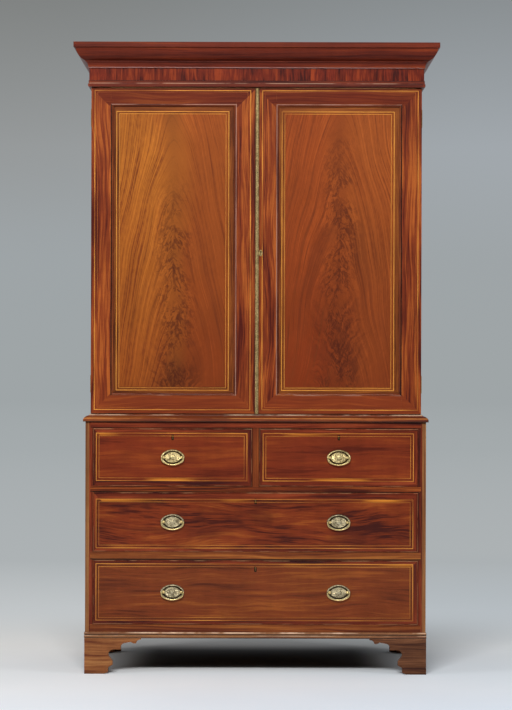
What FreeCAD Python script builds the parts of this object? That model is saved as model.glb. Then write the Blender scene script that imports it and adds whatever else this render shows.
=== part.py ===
"""Mahogany linen press: a drawer base on bracket feet, an upper case with two doors and a cornice.

Millimetres.  X runs to the right, the front faces -Y and Z is up.  The origin lies on the floor,
under the middle of the overall width and depth.
"""
import FreeCAD
import Part
import math
import os

Vector = FreeCAD.Vector
RIGHT = Vector(1, 0, 0)
LEFT = Vector(-1, 0, 0)
BACK = Vector(0, 1, 0)
FRONT = Vector(0, -1, 0)
UP = Vector(0, 0, 1)
DOWN = Vector(0, 0, -1)

# Flats of the knuckles and small bores, and straight lengths in a quarter of an oval
small_round_flats = 8
handle_flats = 8
bail_flats = 6
oval_end_steps = 2
oval_bow_steps = 3
bead_nose_flats = 3

# Cases
base_width = 1158.0
base_depth = 550.0
base_side_thickness = 25.0
upper_inset = 16.0
upper_side_thickness = 20.0
upper_setback = 16.0
shelf_thickness = 18.0
back_thickness = 10.0
back_rebate = 12.0
back_board_count = 5
back_board_gap = 1.0
housing_depth = 8.0

# Heights, from the floor up
foot_height = 121.0
bottom_rail_height = 46.6
bottom_opening_height = 220.4
lower_rail_height = 26.5
middle_opening_height = 204.0
upper_rail_height = 18.5
short_opening_height = 198.7
top_rail_height = 21.8
waist_height = 25.1
door_gap_below = 2.4
door_height = 1108.5
door_gap_above = 3.0
frieze_height = 64.5
cornice_height = 82.0

# Bracket feet
foot_length = 192.0
foot_thickness = 20.0
foot_projection = 2.0
foot_toe_width = 68.0
foot_toe_rise = 7.0
foot_leg_width = 81.0
foot_leg_height = 22.0
foot_spur_width = 96.0
foot_spur_low = 31.0
foot_spur_high = 44.0
foot_neck_width = 83.0
foot_neck_height = 61.0
foot_cove_width = 98.0
foot_cove_high = 83.0
foot_arch_start = 124.0
foot_lobe_length = 34.0
foot_lobe_rise = 25.5
foot_drop_length = 16.0
foot_drop_depth = 4.5
foot_block_size = 46.0
foot_block_lift = 4.0
rear_bracket_length = 150.0
rear_bracket_leg = 70.0
rear_bracket_head = 30.0

# Base moulding: two beads on a flat
base_moulding_height = 21.5
base_moulding_flat = 1.5
base_bead_height = 9.0
base_bead_bulge = 0.28

# Waist moulding
waist_reach = 24.0
waist_edge = 8.0
waist_fillet = 4.0
waist_fillet_reach = 4.0
waist_bulge = 0.13

# Frieze and its bead
frieze_projection = 7.0
frieze_board_thickness = 22.0
frieze_board_drop = 6.0
cornice_back_rail = 18.0
frieze_moulding_height = 22.1
frieze_moulding_flat = 2.0
frieze_bead_low = 1.5
frieze_bead_height = 10.0
frieze_bead_bulge = 0.4

# Cornice moulding
cornice_reach = 50.0
cornice_fillet = 4.0
cornice_cavetto_reach = 5.5
cornice_cavetto_height = 20.0
cornice_quirk = 3.0
cornice_ovolo_reach = 30.5
cornice_ovolo_height = 36.0
cornice_top_fillet = 17.0
cornice_cavetto_bulge = 0.12
cornice_ovolo_bulge = 0.13
cornice_cove_bulge = 0.15

# Doors
door_thickness = 22.0
door_back_gap = 0.6
door_meeting_gap = 2.0
door_stile = 67.0
door_top_rail = 54.0
door_bottom_rail = 61.0
door_tenon = 32.0
door_tenon_shoulder = 9.0
panel_recess = 7.0
panel_thickness = 10.0
panel_groove = 8.0
panel_edge_gap = 1.0
panel_moulding_reach = 9.0
panel_moulding_fillet = 1.5
panel_moulding_flat = 3.0
panel_moulding_quirk = 1.0
panel_moulding_bulge = 0.16

# Brass astragal on the right door's meeting stile
astragal_width = 13.0
astragal_height = 6.0
astragal_lap = 4.0
astragal_clearance = 0.3

# Butt hinges
hinge_length = 60.0
hinge_inset = 100.0
hinge_leaf_width = 14.0
hinge_leaf_thickness = 1.2
hinge_knuckle_radius = 3.0
hinge_knuckle_count = 3
hinge_axis_offset = 0.5
hinge_pin_radius = 1.3
hinge_pin_play = 0.05
hinge_knuckle_gap = 0.2
hinge_clearance = 0.3

# Locks and keyholes
lock_width = 52.0
lock_height = 36.0
lock_depth = 11.0
lock_above_pin = 12.0
door_lock_height = 70.0
door_lock_backset = 14.0
door_keyhole_rise = 552.0
drawer_keyhole_drop = 27.0
keyhole_radius = 3.0
keyhole_slot_width = 4.0
keyhole_slot_length = 12.0
escutcheon_width = 12.0
escutcheon_height = 22.0
escutcheon_end_radius = 4.5
escutcheon_thickness = 1.0

# Drawers
rail_depth = 60.0
bottom_rail_depth = 30.0
divider_width = 22.0
runner_width = 50.0
guide_height = 20.0
dustboard_thickness = 6.0
dustboard_tongue = 6.0
drawer_gap = 1.0
drawer_runner_gap = 0.3
drawer_back_space = 50.0
drawer_front_thickness = 20.0
drawer_front_lap = 6.0
drawer_side_thickness = 9.0
drawer_back_thickness = 9.0
drawer_side_drop = 5.0
drawer_back_drop = 8.0
drawer_bottom_thickness = 6.0
drawer_bottom_lift = 9.0
drawer_groove = 4.0
stop_length = 40.0
stop_width = 12.0
stop_height = 5.0
stop_inset = 70.0
cock_bead_thickness = 3.0
cock_bead_depth = 5.5
cock_bead_projection = 2.5
cock_bead_nose = 1.2
dovetail_pitch = 56.0
dovetail_share = 0.6
dovetail_slope = 1.0 / 6.0

# Oval plates, posts and bails
plate_width = 80.0
plate_height = 53.0
plate_thickness = 1.8
plate_end_radius = 18.5
plate_boss_width = 34.0
plate_boss_height = 22.0
plate_boss_end_radius = 7.5
plate_boss_thickness = 2.5
post_spacing = 60.0
post_shank_half = 2.5
post_head_radius = 3.8
post_reach = 9.5
nut_half = 5.0
nut_thickness = 3.0
bail_half_width = 37.0
bail_drop = 25.0
bail_shoulder_radius = 14.0
bail_post_gap = 0.9
bail_radius = 2.4
bail_pin_radius = 1.3
bail_pin_play = 0.05

# Sliding trays
tray_count = 4
tray_gap = 1.0
tray_setback = 66.0
tray_back_gap = 5.0
tray_front_thickness = 12.0
tray_side_thickness = 10.0
tray_back_height = 96.0
tray_front_height = 56.0
tray_front_dip = 18.0
tray_dip_share = 0.45
tray_bottom_lift = 5.0
tray_first_rise = 24.0
tray_runner_width = 14.0
tray_runner_height = 18.0
tray_runner_gap = 0.3

# Places that follow from the sizes
base_half = base_width / 2
upper_half = base_half - upper_inset
frieze_half = upper_half + frieze_projection
cornice_overhang = frieze_projection + cornice_reach - upper_setback
overall_depth = base_depth + cornice_overhang
back_y = overall_depth / 2
base_front = back_y - base_depth
door_front = base_front + upper_setback
door_back = door_front + door_thickness
case_front = door_back + door_back_gap
inner_back = back_y - back_thickness
frieze_front = door_front - frieze_projection

bottom_opening_z = foot_height + bottom_rail_height
lower_rail_z = bottom_opening_z + bottom_opening_height
middle_opening_z = lower_rail_z + lower_rail_height
upper_rail_z = middle_opening_z + middle_opening_height
short_opening_z = upper_rail_z + upper_rail_height
top_rail_z = short_opening_z + short_opening_height
base_top_z = top_rail_z + top_rail_height
door_bottom_z = base_top_z + waist_height + door_gap_below
door_top_z = door_bottom_z + door_height
upper_top_z = door_top_z + door_gap_above
frieze_top_z = upper_top_z + frieze_height
overall_height = frieze_top_z + cornice_height

base_inner = base_half - base_side_thickness
upper_inner = upper_half - upper_side_thickness
short_opening_width = base_inner - divider_width / 2
short_centre = (base_inner + divider_width / 2) / 2
drawer_length = base_depth - back_thickness - drawer_back_space
hinge_x = upper_half + hinge_axis_offset
hinge_y = door_back + door_back_gap / 2


def block(x_range, y_range, z_range):
    """Straight-sided board between three pairs of limits."""
    lows = [min(pair) for pair in (x_range, y_range, z_range)]
    highs = [max(pair) for pair in (x_range, y_range, z_range)]
    sizes = [high - low for low, high in zip(lows, highs)]
    return Part.makeBox(*sizes, Vector(*lows))


def even_sided(half_across, flats):
    """Outline of a bar with equal flats, one of them upright on the right."""
    radius = half_across / math.cos(math.pi / flats)
    return [
        (radius * math.cos(2 * math.pi * (index + 0.5) / flats),
         radius * math.sin(2 * math.pi * (index + 0.5) / flats))
        for index in range(flats)
    ]


def bore(centre, direction, radius, length, flats=small_round_flats):
    """Small round hole from its centre of one end, with flats that touch its radius."""
    across = RIGHT if direction.x == 0 else UP
    return prism(
        even_sided(radius, flats), centre, across, direction.cross(across), direction * length)


def round_bar(centre, direction, radius, length, flats=small_round_flats):
    """Small round bar from its centre of one end, with corners that lie on its radius."""
    return bore(centre, direction, radius * math.cos(math.pi / flats), length, flats)


def round_pin(centre, direction, radius, length):
    """Round pin from its centre of one end."""
    return Part.makeCylinder(radius, length, centre, direction)


def outline_face(points, origin, along_u, along_w):
    """Flat face from corners (u, w); a third value bows the edge into its corner outward.

    The third value is the rise of the arc as a share of its chord, to the right of the way
    round the outline.
    """
    def place(u, w):
        return origin + along_u * u + along_w * w

    edges = []
    for index, corner in enumerate(points):
        before = points[index - 1]
        start = place(before[0], before[1])
        end = place(corner[0], corner[1])
        if len(corner) == 3:
            rise = corner[2]
            middle_u = (before[0] + corner[0]) / 2 + rise * (corner[1] - before[1])
            middle_w = (before[1] + corner[1]) / 2 - rise * (corner[0] - before[0])
            edges.append(Part.Arc(start, place(middle_u, middle_w), end).toShape())
        else:
            edges.append(Part.makeLine(start, end))
    return Part.Face(Part.Wire(edges))


def prism(points, origin, along_u, along_w, sweep):
    """Solid drawn out in a straight line from an outline."""
    return outline_face(points, origin, along_u, along_w).extrude(sweep)


def mitred_run(profile, origin, along, outward, up, length, start_mitre, end_mitre):
    """Length of moulding; a mitre of 1 turns outward, -1 inward and 0 is cut square."""
    reach = 2 * max(corner[0] for corner in profile)
    low = min(corner[1] for corner in profile) - reach
    high = max(corner[1] for corner in profile) + reach
    bar = prism(profile, origin - along * reach, outward, up, along * (length + 2 * reach))
    plan = [
        (0, 0),
        (length, 0),
        (length + end_mitre * reach, reach),
        (-start_mitre * reach, reach),
    ]
    room = prism(plan, origin + up * low, along, outward, up * (high - low))
    return bar.common(room).Solids[0]


def wrapped_moulding(profile, half_width, front_y, low_z):
    """Moulding mitred round the front and both sides of a case, square at the back."""
    depth = back_y - front_y
    left_corner = Vector(-half_width, front_y, low_z)
    right_corner = Vector(half_width, front_y, low_z)
    return [
        mitred_run(profile, left_corner, RIGHT, FRONT, UP, 2 * half_width, 1, 1),
        mitred_run(profile, left_corner, BACK, LEFT, UP, depth, 1, 0),
        mitred_run(profile, right_corner, BACK, RIGHT, UP, depth, 1, 0),
    ]


def framed_moulding(profile, x_range, z_range, back_of_moulding):
    """Moulding mitred round the inside of an upright opening that faces the front."""
    low = Vector(x_range[0], back_of_moulding, z_range[0])
    low_right = Vector(x_range[1], back_of_moulding, z_range[0])
    high = Vector(x_range[0], back_of_moulding, z_range[1])
    width = x_range[1] - x_range[0]
    height = z_range[1] - z_range[0]
    return [
        mitred_run(profile, low, RIGHT, UP, FRONT, width, -1, -1),
        mitred_run(profile, high, RIGHT, DOWN, FRONT, width, -1, -1),
        mitred_run(profile, low, UP, RIGHT, FRONT, height, -1, -1),
        mitred_run(profile, low_right, UP, LEFT, FRONT, height, -1, -1),
    ]


def mirrored(shapes):
    """The same pieces on the other side of the middle plane."""
    return [shape.mirror(Vector(0, 0, 0), RIGHT) for shape in shapes]


def export(name, solids):
    """Write one node's solids."""
    shape = solids[0] if len(solids) == 1 else Part.makeCompound(solids)
    shape.exportStep(f"parts/{name}.step")


# Feet and mouldings ---------------------------------------------------------------------------

def bracket_outline():
    """Face of a foot bracket, from its outer corner along the case."""
    arch_end = foot_length - foot_drop_length
    lobe_top = foot_cove_high + foot_lobe_rise
    lobe_middle = foot_arch_start + foot_lobe_length * 0.3
    return [
        (0, 0),
        (foot_toe_width, 0),
        (foot_leg_width, foot_toe_rise),
        (foot_leg_width, foot_leg_height),
        (foot_spur_width, foot_spur_low),
        (foot_spur_width, foot_spur_high),
        (foot_neck_width, foot_neck_height),
        (foot_cove_width, foot_cove_high, -0.25),
        (foot_arch_start, foot_cove_high),
        (lobe_middle, lobe_top - foot_drop_depth, -0.2),
        (foot_arch_start + foot_lobe_length, lobe_top),
        (arch_end, lobe_top - foot_drop_depth, 0.12),
        (foot_length, foot_height - foot_drop_depth, -0.2),
        (foot_length, foot_height),
        (0, foot_height),
    ]


def rear_bracket_outline():
    """Plain bracket across the back, sloped from its leg to a narrow head."""
    return [
        (0, 0),
        (rear_bracket_leg, 0),
        (rear_bracket_leg, foot_height / 2),
        (rear_bracket_length, foot_height - rear_bracket_head, -0.15),
        (rear_bracket_length, foot_height),
        (0, foot_height),
    ]


def glue_block(corner_x, corner_y, toward_y):
    """Block in the angle of two brackets, a little off the floor."""
    return block(
        (corner_x, corner_x - foot_block_size),
        (corner_y, corner_y + toward_y * foot_block_size),
        (foot_block_lift, foot_height),
    )


def make_feet():
    """Two mitred brackets and a block to each front foot; a side and a back bracket behind."""
    outer_x = base_half + foot_projection
    outer_y = base_front - foot_projection
    inner_x = outer_x - foot_thickness
    corner = Vector(outer_x, outer_y, 0)
    face = bracket_outline()
    mitre_plan = [
        (0, 0),
        (foot_length, 0),
        (foot_length, foot_thickness),
        (foot_thickness, foot_thickness),
    ]
    front_room = prism(mitre_plan, corner, LEFT, BACK, UP * foot_height)
    side_room = prism(mitre_plan, corner, BACK, LEFT, UP * foot_height)
    front_bracket = prism(face, corner, LEFT, UP, BACK * foot_thickness).common(front_room)
    side_bracket = prism(face, corner, BACK, UP, LEFT * foot_thickness).common(side_room)
    front_foot = [
        front_bracket,
        side_bracket,
        glue_block(inner_x, outer_y + foot_thickness, 1),
    ]

    rear_corner = Vector(outer_x, back_y, 0)
    rear_side = prism(face, rear_corner, FRONT, UP, LEFT * foot_thickness)
    back_bracket = prism(
        rear_bracket_outline(), Vector(inner_x, back_y, 0), LEFT, UP, FRONT * foot_thickness)
    rear_foot = [
        rear_side,
        back_bracket,
        glue_block(inner_x, back_y - foot_thickness, -1),
    ]
    export("foot_front_right", front_foot)
    export("foot_front_left", mirrored(front_foot))
    export("foot_rear_right", rear_foot)
    export("foot_rear_left", mirrored(rear_foot))


def make_base_moulding():
    """Two beads, one over the other, round the bottom of the base."""
    flat = base_moulding_flat
    first = (base_moulding_height - 2 * base_bead_height) / 3
    second = 2 * first + base_bead_height
    profile = [
        (0, 0),
        (flat, 0),
        (flat, first),
        (flat, first + base_bead_height, base_bead_bulge),
        (flat, second),
        (flat, second + base_bead_height, base_bead_bulge),
        (flat, base_moulding_height),
        (0, base_moulding_height),
    ]
    export("base_moulding", wrapped_moulding(profile, base_half, base_front, foot_height))


def make_waist_moulding():
    """Moulding on the base top that the upper case drops into."""
    profile = [
        (0, 0),
        (waist_reach, 0),
        (waist_reach, waist_edge),
        (waist_fillet_reach, waist_height - waist_fillet, waist_bulge),
        (waist_fillet_reach, waist_height),
        (0, waist_height),
    ]
    export("waist_moulding", wrapped_moulding(profile, upper_half, door_front, base_top_z))


def make_cornice():
    """Loose cornice: an open frame of frieze boards with a bead below and a moulding above."""
    inside = frieze_half - frieze_board_thickness
    front_inside = frieze_front + frieze_board_thickness
    heights = (upper_top_z, overall_height - frieze_board_drop)
    side_board = block((inside, frieze_half), (front_inside, back_y), heights)
    export("cornice_frame", [
        block((-frieze_half, frieze_half), (frieze_front, front_inside), heights),
        side_board,
        *mirrored([side_board]),
        block((-inside, inside), (back_y - cornice_back_rail, back_y), heights),
    ])

    flat = frieze_moulding_flat
    bead_top = frieze_bead_low + frieze_bead_height
    bead = [
        (0, 0),
        (flat, 0),
        (flat, frieze_bead_low),
        (flat, bead_top, frieze_bead_bulge),
        (flat, frieze_moulding_height),
        (0, frieze_moulding_height),
    ]
    export("frieze_bead", wrapped_moulding(bead, frieze_half, frieze_front, upper_top_z))

    cavetto = cornice_fillet + cornice_cavetto_reach
    ovolo_start = cavetto + cornice_quirk
    ovolo_low = cornice_cavetto_height + cornice_quirk
    ovolo_high = ovolo_low + cornice_ovolo_height
    moulding = [
        (0, 0),
        (cornice_fillet, 0),
        (cavetto, cornice_cavetto_height, -cornice_cavetto_bulge),
        (ovolo_start, cornice_cavetto_height),
        (ovolo_start, ovolo_low),
        (ovolo_start + cornice_ovolo_reach, ovolo_high, cornice_ovolo_bulge),
        (cornice_reach, cornice_height - cornice_top_fillet, -cornice_cove_bulge),
        (cornice_reach, cornice_height),
        (0, cornice_height),
    ]
    export("cornice_moulding", wrapped_moulding(moulding, frieze_half, frieze_front, frieze_top_z))


# Cases ----------------------------------------------------------------------------------------

def back_boards(inside_half, z_range):
    """Upright boards side by side in the rebates of the case sides."""
    half = inside_half + back_rebate
    pitch = 2 * half / back_board_count
    boards = []
    for index in range(back_board_count):
        low = -half + index * pitch + back_board_gap / 2
        boards.append(block((low, low + pitch - back_board_gap), (inner_back, back_y), z_range))
    return boards


def rebated_side(inside_half, outside_half, front_y, z_range, housings):
    """Case side with its rebate for the back and a housing for each board end."""
    side = block((inside_half, outside_half), (front_y, back_y), z_range)
    rebate = block((inside_half, inside_half + back_rebate), (inner_back, back_y), z_range)
    return side.cut([rebate, *housings])


def rail_between(inside_half, y_range, z_range):
    """Rail whose ends are let into both case sides."""
    half = inside_half + housing_depth
    return block((-half, half), y_range, z_range)


def make_base():
    """Drawer case: sides, bottom, top, back, rails, the short drawers' upright and runners."""
    rail_y = (base_front, base_front + rail_depth)
    bottom_rail_y = (base_front, base_front + bottom_rail_depth)
    rails = [
        rail_between(base_inner, bottom_rail_y, (foot_height, bottom_opening_z)),
        rail_between(base_inner, rail_y, (lower_rail_z, middle_opening_z)),
        rail_between(base_inner, rail_y, (upper_rail_z, short_opening_z)),
        rail_between(base_inner, rail_y, (top_rail_z, base_top_z)),
    ]
    bottom = rail_between(
        base_inner,
        (bottom_rail_y[1], inner_back),
        (bottom_opening_z - shelf_thickness, bottom_opening_z),
    )
    top = rail_between(
        base_inner, (rail_y[1], inner_back), (base_top_z - shelf_thickness, base_top_z))
    side = rebated_side(
        base_inner, base_half, base_front, (foot_height, base_top_z), [*rails, bottom, top])

    runner_y = (rail_y[1], inner_back)
    middle_half = divider_width / 2 + runner_width / 2
    runners = []
    dustboards = []
    for low, high, has_middle in (
            (lower_rail_z, middle_opening_z, False), (upper_rail_z, short_opening_z, True)):
        side_runner = block((base_inner - runner_width, base_inner), runner_y, (low, high))
        runners += [side_runner, *mirrored([side_runner])]
        board_low = (low + high - dustboard_thickness) / 2
        board_z = (board_low, board_low + dustboard_thickness)
        board_y = (rail_y[1] - dustboard_tongue, inner_back)
        outer = base_inner - runner_width + dustboard_tongue
        if has_middle:
            runners.append(block((-middle_half, middle_half), runner_y, (low, high)))
            board = block((middle_half - dustboard_tongue, outer), board_y, board_z)
            dustboards += [board, *mirrored([board])]
        else:
            dustboards.append(block((-outer, outer), board_y, board_z))
    runners = [runner.cut(dustboards) for runner in runners]
    rails = [rail.cut(dustboards) for rail in rails]

    divider = block(
        (-divider_width / 2, divider_width / 2), rail_y, (short_opening_z, top_rail_z))
    guide = block(
        (-divider_width / 2, divider_width / 2),
        runner_y,
        (short_opening_z, short_opening_z + guide_height),
    )
    kicker_z = (top_rail_z, base_top_z - shelf_thickness)
    side_kicker = block((base_inner - runner_width, base_inner), runner_y, kicker_z)
    middle_kicker = block((-middle_half, middle_half), runner_y, kicker_z)

    export("base_side_right", [side])
    export("base_side_left", mirrored([side]))
    export("base_bottom", [bottom])
    export("base_top", [top])
    export("base_back_boards", back_boards(base_inner, (foot_height, base_top_z)))
    export("drawer_rails", rails + drawer_stops())
    export("drawer_divider", [divider])
    export("drawer_runners", [
        *runners, *dustboards, guide, side_kicker, *mirrored([side_kicker]), middle_kicker])


def drawer_stops():
    """Pairs of small blocks that each drawer front comes to rest against."""
    near = base_front + drawer_front_thickness
    stops = []
    for _, centre_x, width, low_z, _, _ in drawer_openings():
        for side in (-1, 1):
            middle = centre_x + side * (width / 2 - stop_inset)
            stops.append(block(
                (middle - stop_length / 2, middle + stop_length / 2),
                (near + drawer_runner_gap, near + drawer_runner_gap + stop_width),
                (low_z, low_z + stop_height),
            ))
    return stops


def make_upper_case():
    """Tray case: sides, top, bottom with the strip under the doors, back and tray runners."""
    case_y = (case_front, inner_back)
    bottom = rail_between(upper_inner, case_y, (base_top_z, base_top_z + shelf_thickness))
    top = rail_between(upper_inner, case_y, (upper_top_z - shelf_thickness, upper_top_z))
    plinth = block(
        (-upper_half, upper_half), (door_front, case_front), (base_top_z, base_top_z + waist_height))
    side = rebated_side(
        upper_inner, upper_half, case_front, (base_top_z, upper_top_z), [bottom, top])
    left_side = mirrored([side])[0]
    for low_z in hinge_places():
        recess = hinge_recess(low_z, 1)
        side = side.cut(recess)
        left_side = left_side.cut(mirrored([recess])[0])

    runners = []
    for low_z in tray_places():
        runner = block(
            (upper_inner - tray_runner_width, upper_inner),
            (tray_front_y(), inner_back),
            (low_z - tray_runner_gap - tray_runner_height, low_z - tray_runner_gap),
        )
        runners += [runner, *mirrored([runner])]

    export("upper_side_right", [side])
    export("upper_side_left", [left_side])
    export("upper_bottom", [bottom, plinth])
    export("upper_top", [top])
    export("upper_back_boards", back_boards(upper_inner, (base_top_z, upper_top_z)))
    export("tray_runners", runners)


# Hinges ---------------------------------------------------------------------------------------

def hinge_places():
    """Lower ends of the two hinges of a door."""
    half = hinge_length / 2
    return (door_bottom_z + hinge_inset - half, door_top_z - hinge_inset - half)


def leaf_block(low_z, toward_back):
    """Flat leaf from the hinge's axis inward, on the door's side or the case's side of it."""
    near = hinge_y + toward_back * door_back_gap / 2
    far = near + toward_back * hinge_leaf_thickness
    return block((hinge_x - hinge_leaf_width, hinge_x), (near, far), (low_z, low_z + hinge_length))


def hinge_recess(low_z, toward_back):
    """Bed for a leaf, with room for the knuckles to turn in."""
    room = bore(
        Vector(hinge_x, hinge_y, low_z - hinge_clearance),
        UP,
        hinge_knuckle_radius + hinge_clearance,
        hinge_length + 2 * hinge_clearance,
    )
    return leaf_block(low_z, toward_back).fuse(room)


def hinge_leaf(low_z, toward_back, first_knuckle):
    """Leaf with every other knuckle, the first or the second at its foot."""
    pitch = hinge_length / hinge_knuckle_count
    leaf = leaf_block(low_z, toward_back)
    knuckles = []
    for index in range(hinge_knuckle_count):
        foot = Vector(hinge_x, hinge_y, low_z + index * pitch)
        if index % 2 == first_knuckle:
            raised = foot + UP * (hinge_knuckle_gap / 2)
            knuckles.append(
                round_bar(raised, UP, hinge_knuckle_radius, pitch - hinge_knuckle_gap))
        else:
            sunk = foot - UP * (hinge_knuckle_gap / 2)
            leaf = leaf.cut(bore(
                sunk, UP, hinge_knuckle_radius + hinge_clearance, pitch + hinge_knuckle_gap))
    return leaf.fuse(knuckles).removeSplitter()


def make_hinges():
    """Case leaves with the pins fixed in them, and the leaves that turn with the doors."""
    case_leaves = []
    door_leaves = []
    pitch = hinge_length / hinge_knuckle_count
    for low_z in hinge_places():
        foot = Vector(hinge_x, hinge_y, low_z)
        pin = round_pin(foot + UP * (pitch / 2), UP, hinge_pin_radius, hinge_length - pitch)
        hole = bore(foot, UP, hinge_pin_radius + hinge_pin_play, hinge_length)
        case_leaves.append(hinge_leaf(low_z, 1, 0).fuse(pin).removeSplitter())
        door_leaves.append(hinge_leaf(low_z, -1, 1).cut(hole))
    export("hinge_case_leaves", case_leaves + mirrored(case_leaves))
    export("right_door_hinge_leaves", door_leaves)
    export("left_door_hinge_leaves", mirrored(door_leaves))


# Doors ----------------------------------------------------------------------------------------

def keyhole(centre, depth):
    """Round and slot for a key, going back from a face."""
    half = keyhole_slot_width / 2
    slot = block(
        (centre.x - half, centre.x + half),
        (centre.y, centre.y + depth),
        (centre.z - keyhole_slot_length, centre.z),
    )
    return bore(centre, BACK, keyhole_radius, depth).fuse(slot)


def door_opening():
    """Limits of the right door and of the space inside its frame."""
    outer_x = (door_meeting_gap / 2, upper_half)
    inner_x = (outer_x[0] + door_stile, outer_x[1] - door_stile)
    inner_z = (door_bottom_z + door_bottom_rail, door_top_z - door_top_rail)
    return outer_x, inner_x, inner_z


def door_frame_pieces():
    """Two stiles and two rails, tenoned and grooved for the panel."""
    outer_x, inner_x, inner_z = door_opening()
    thickness = (door_front, door_back)
    groove_y = (door_front + panel_recess, door_front + panel_recess + panel_thickness)
    groove = block(
        (inner_x[0] - panel_groove, inner_x[1] + panel_groove),
        groove_y,
        (inner_z[0] - panel_groove, inner_z[1] + panel_groove),
    )
    rails = []
    tenons = []
    for low, high in ((door_bottom_z, inner_z[0]), (inner_z[1], door_top_z)):
        tenon = block(
            (inner_x[0] - door_tenon, inner_x[1] + door_tenon),
            groove_y,
            (low + door_tenon_shoulder, high - door_tenon_shoulder),
        )
        tenons.append(tenon)
        rails.append(block(inner_x, thickness, (low, high)).fuse(tenon).cut(groove))
    height = (door_bottom_z, door_top_z)
    meeting_stile = block((outer_x[0], inner_x[0]), thickness, height).cut([groove, *tenons])
    hanging_stile = block((inner_x[1], outer_x[1]), thickness, height).cut([groove, *tenons])
    for low_z in hinge_places():
        hanging_stile = hanging_stile.cut(hinge_recess(low_z, -1))
    return meeting_stile, hanging_stile, rails


def door_panel():
    """Flat panel, free to move a little in its groove."""
    _, inner_x, inner_z = door_opening()
    margin = panel_groove - panel_edge_gap
    face_y = door_front + panel_recess
    return block(
        (inner_x[0] - margin, inner_x[1] + margin),
        (face_y, face_y + panel_thickness),
        (inner_z[0] - margin, inner_z[1] + margin),
    )


def door_moulding():
    """Mitred moulding in the angle between the frame and the panel."""
    _, inner_x, inner_z = door_opening()
    profile = [
        (0, 0),
        (panel_moulding_reach, 0),
        (panel_moulding_reach, panel_moulding_fillet),
        (panel_moulding_flat, panel_recess - panel_moulding_quirk, panel_moulding_bulge),
        (panel_moulding_flat, panel_recess),
        (0, panel_recess),
    ]
    return framed_moulding(profile, inner_x, inner_z, door_front + panel_recess)


def make_doors():
    """Both doors; the right one has the brass astragal and the lock."""
    meeting_stile, hanging_stile, rails = door_frame_pieces()
    export("left_door_frame", mirrored([meeting_stile, hanging_stile, *rails]))
    export("left_door_panel", mirrored([door_panel()]))
    export("left_door_moulding", mirrored(door_moulding()))
    export("right_door_panel", [door_panel()])
    export("right_door_moulding", door_moulding())

    edge_x = door_meeting_gap / 2
    key_z = door_bottom_z + door_keyhole_rise
    key_front = Vector(edge_x + door_lock_backset, door_front, key_z)
    lock_z = (key_z - door_lock_height / 2, key_z + door_lock_height / 2)
    lock = block((edge_x, edge_x + lock_width), (door_back - lock_depth, door_back), lock_z)
    key_way = keyhole(key_front, door_thickness - lock_depth)
    plate = prism(
        oval(escutcheon_height / 2, escutcheon_width / 2, escutcheon_end_radius),
        key_front + DOWN * ((keyhole_slot_length - keyhole_radius) / 2),
        UP,
        LEFT,
        FRONT * escutcheon_thickness,
    ).cut(keyhole(key_front + FRONT * escutcheon_thickness, escutcheon_thickness))
    export("right_door_frame", [meeting_stile.cut([lock, key_way]), hanging_stile, *rails])
    export("right_door_lock", [lock, plate])

    half = astragal_width / 2
    bulge = astragal_height / astragal_width
    rod = prism(
        [(-half, 0), (half, 0, bulge)],
        Vector(half - astragal_lap, door_front, door_bottom_z),
        RIGHT,
        BACK,
        UP * door_height,
    )
    lap_room = block(
        (-astragal_lap, edge_x),
        (door_front - astragal_clearance, door_front),
        (door_bottom_z, door_top_z),
    )
    export("right_door_astragal", [rod.cut(lap_room)])


# Drawers --------------------------------------------------------------------------------------

def drawer_openings():
    """Name, centre, width, lower level, height and handle places of each drawer."""
    return [
        ("short_left_drawer", -short_centre, short_opening_width, short_opening_z,
         short_opening_height, {"": -short_centre}),
        ("short_right_drawer", short_centre, short_opening_width, short_opening_z,
         short_opening_height, {"": short_centre}),
        ("middle_drawer", 0.0, 2 * base_inner, middle_opening_z,
         middle_opening_height, {"_left": -short_centre, "_right": short_centre}),
        ("bottom_drawer", 0.0, 2 * base_inner, bottom_opening_z,
         bottom_opening_height, {"_left": -short_centre, "_right": short_centre}),
    ]


def dovetails(x_range, root_y, direction, z_range, length):
    """Row of tails that widen away from their roots."""
    height = z_range[1] - z_range[0]
    count = max(2, round(height / dovetail_pitch))
    pitch = height / count
    root = pitch * dovetail_share / 2
    end = root + length * dovetail_slope
    tails = []
    for index in range(count):
        middle = z_range[0] + (index + 0.5) * pitch
        points = [
            (0, middle - root),
            (length, middle - end),
            (length, middle + end),
            (0, middle + root),
        ]
        origin = Vector(x_range[0], root_y, 0)
        tails.append(prism(points, origin, direction, UP, RIGHT * (x_range[1] - x_range[0])))
    return tails


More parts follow.
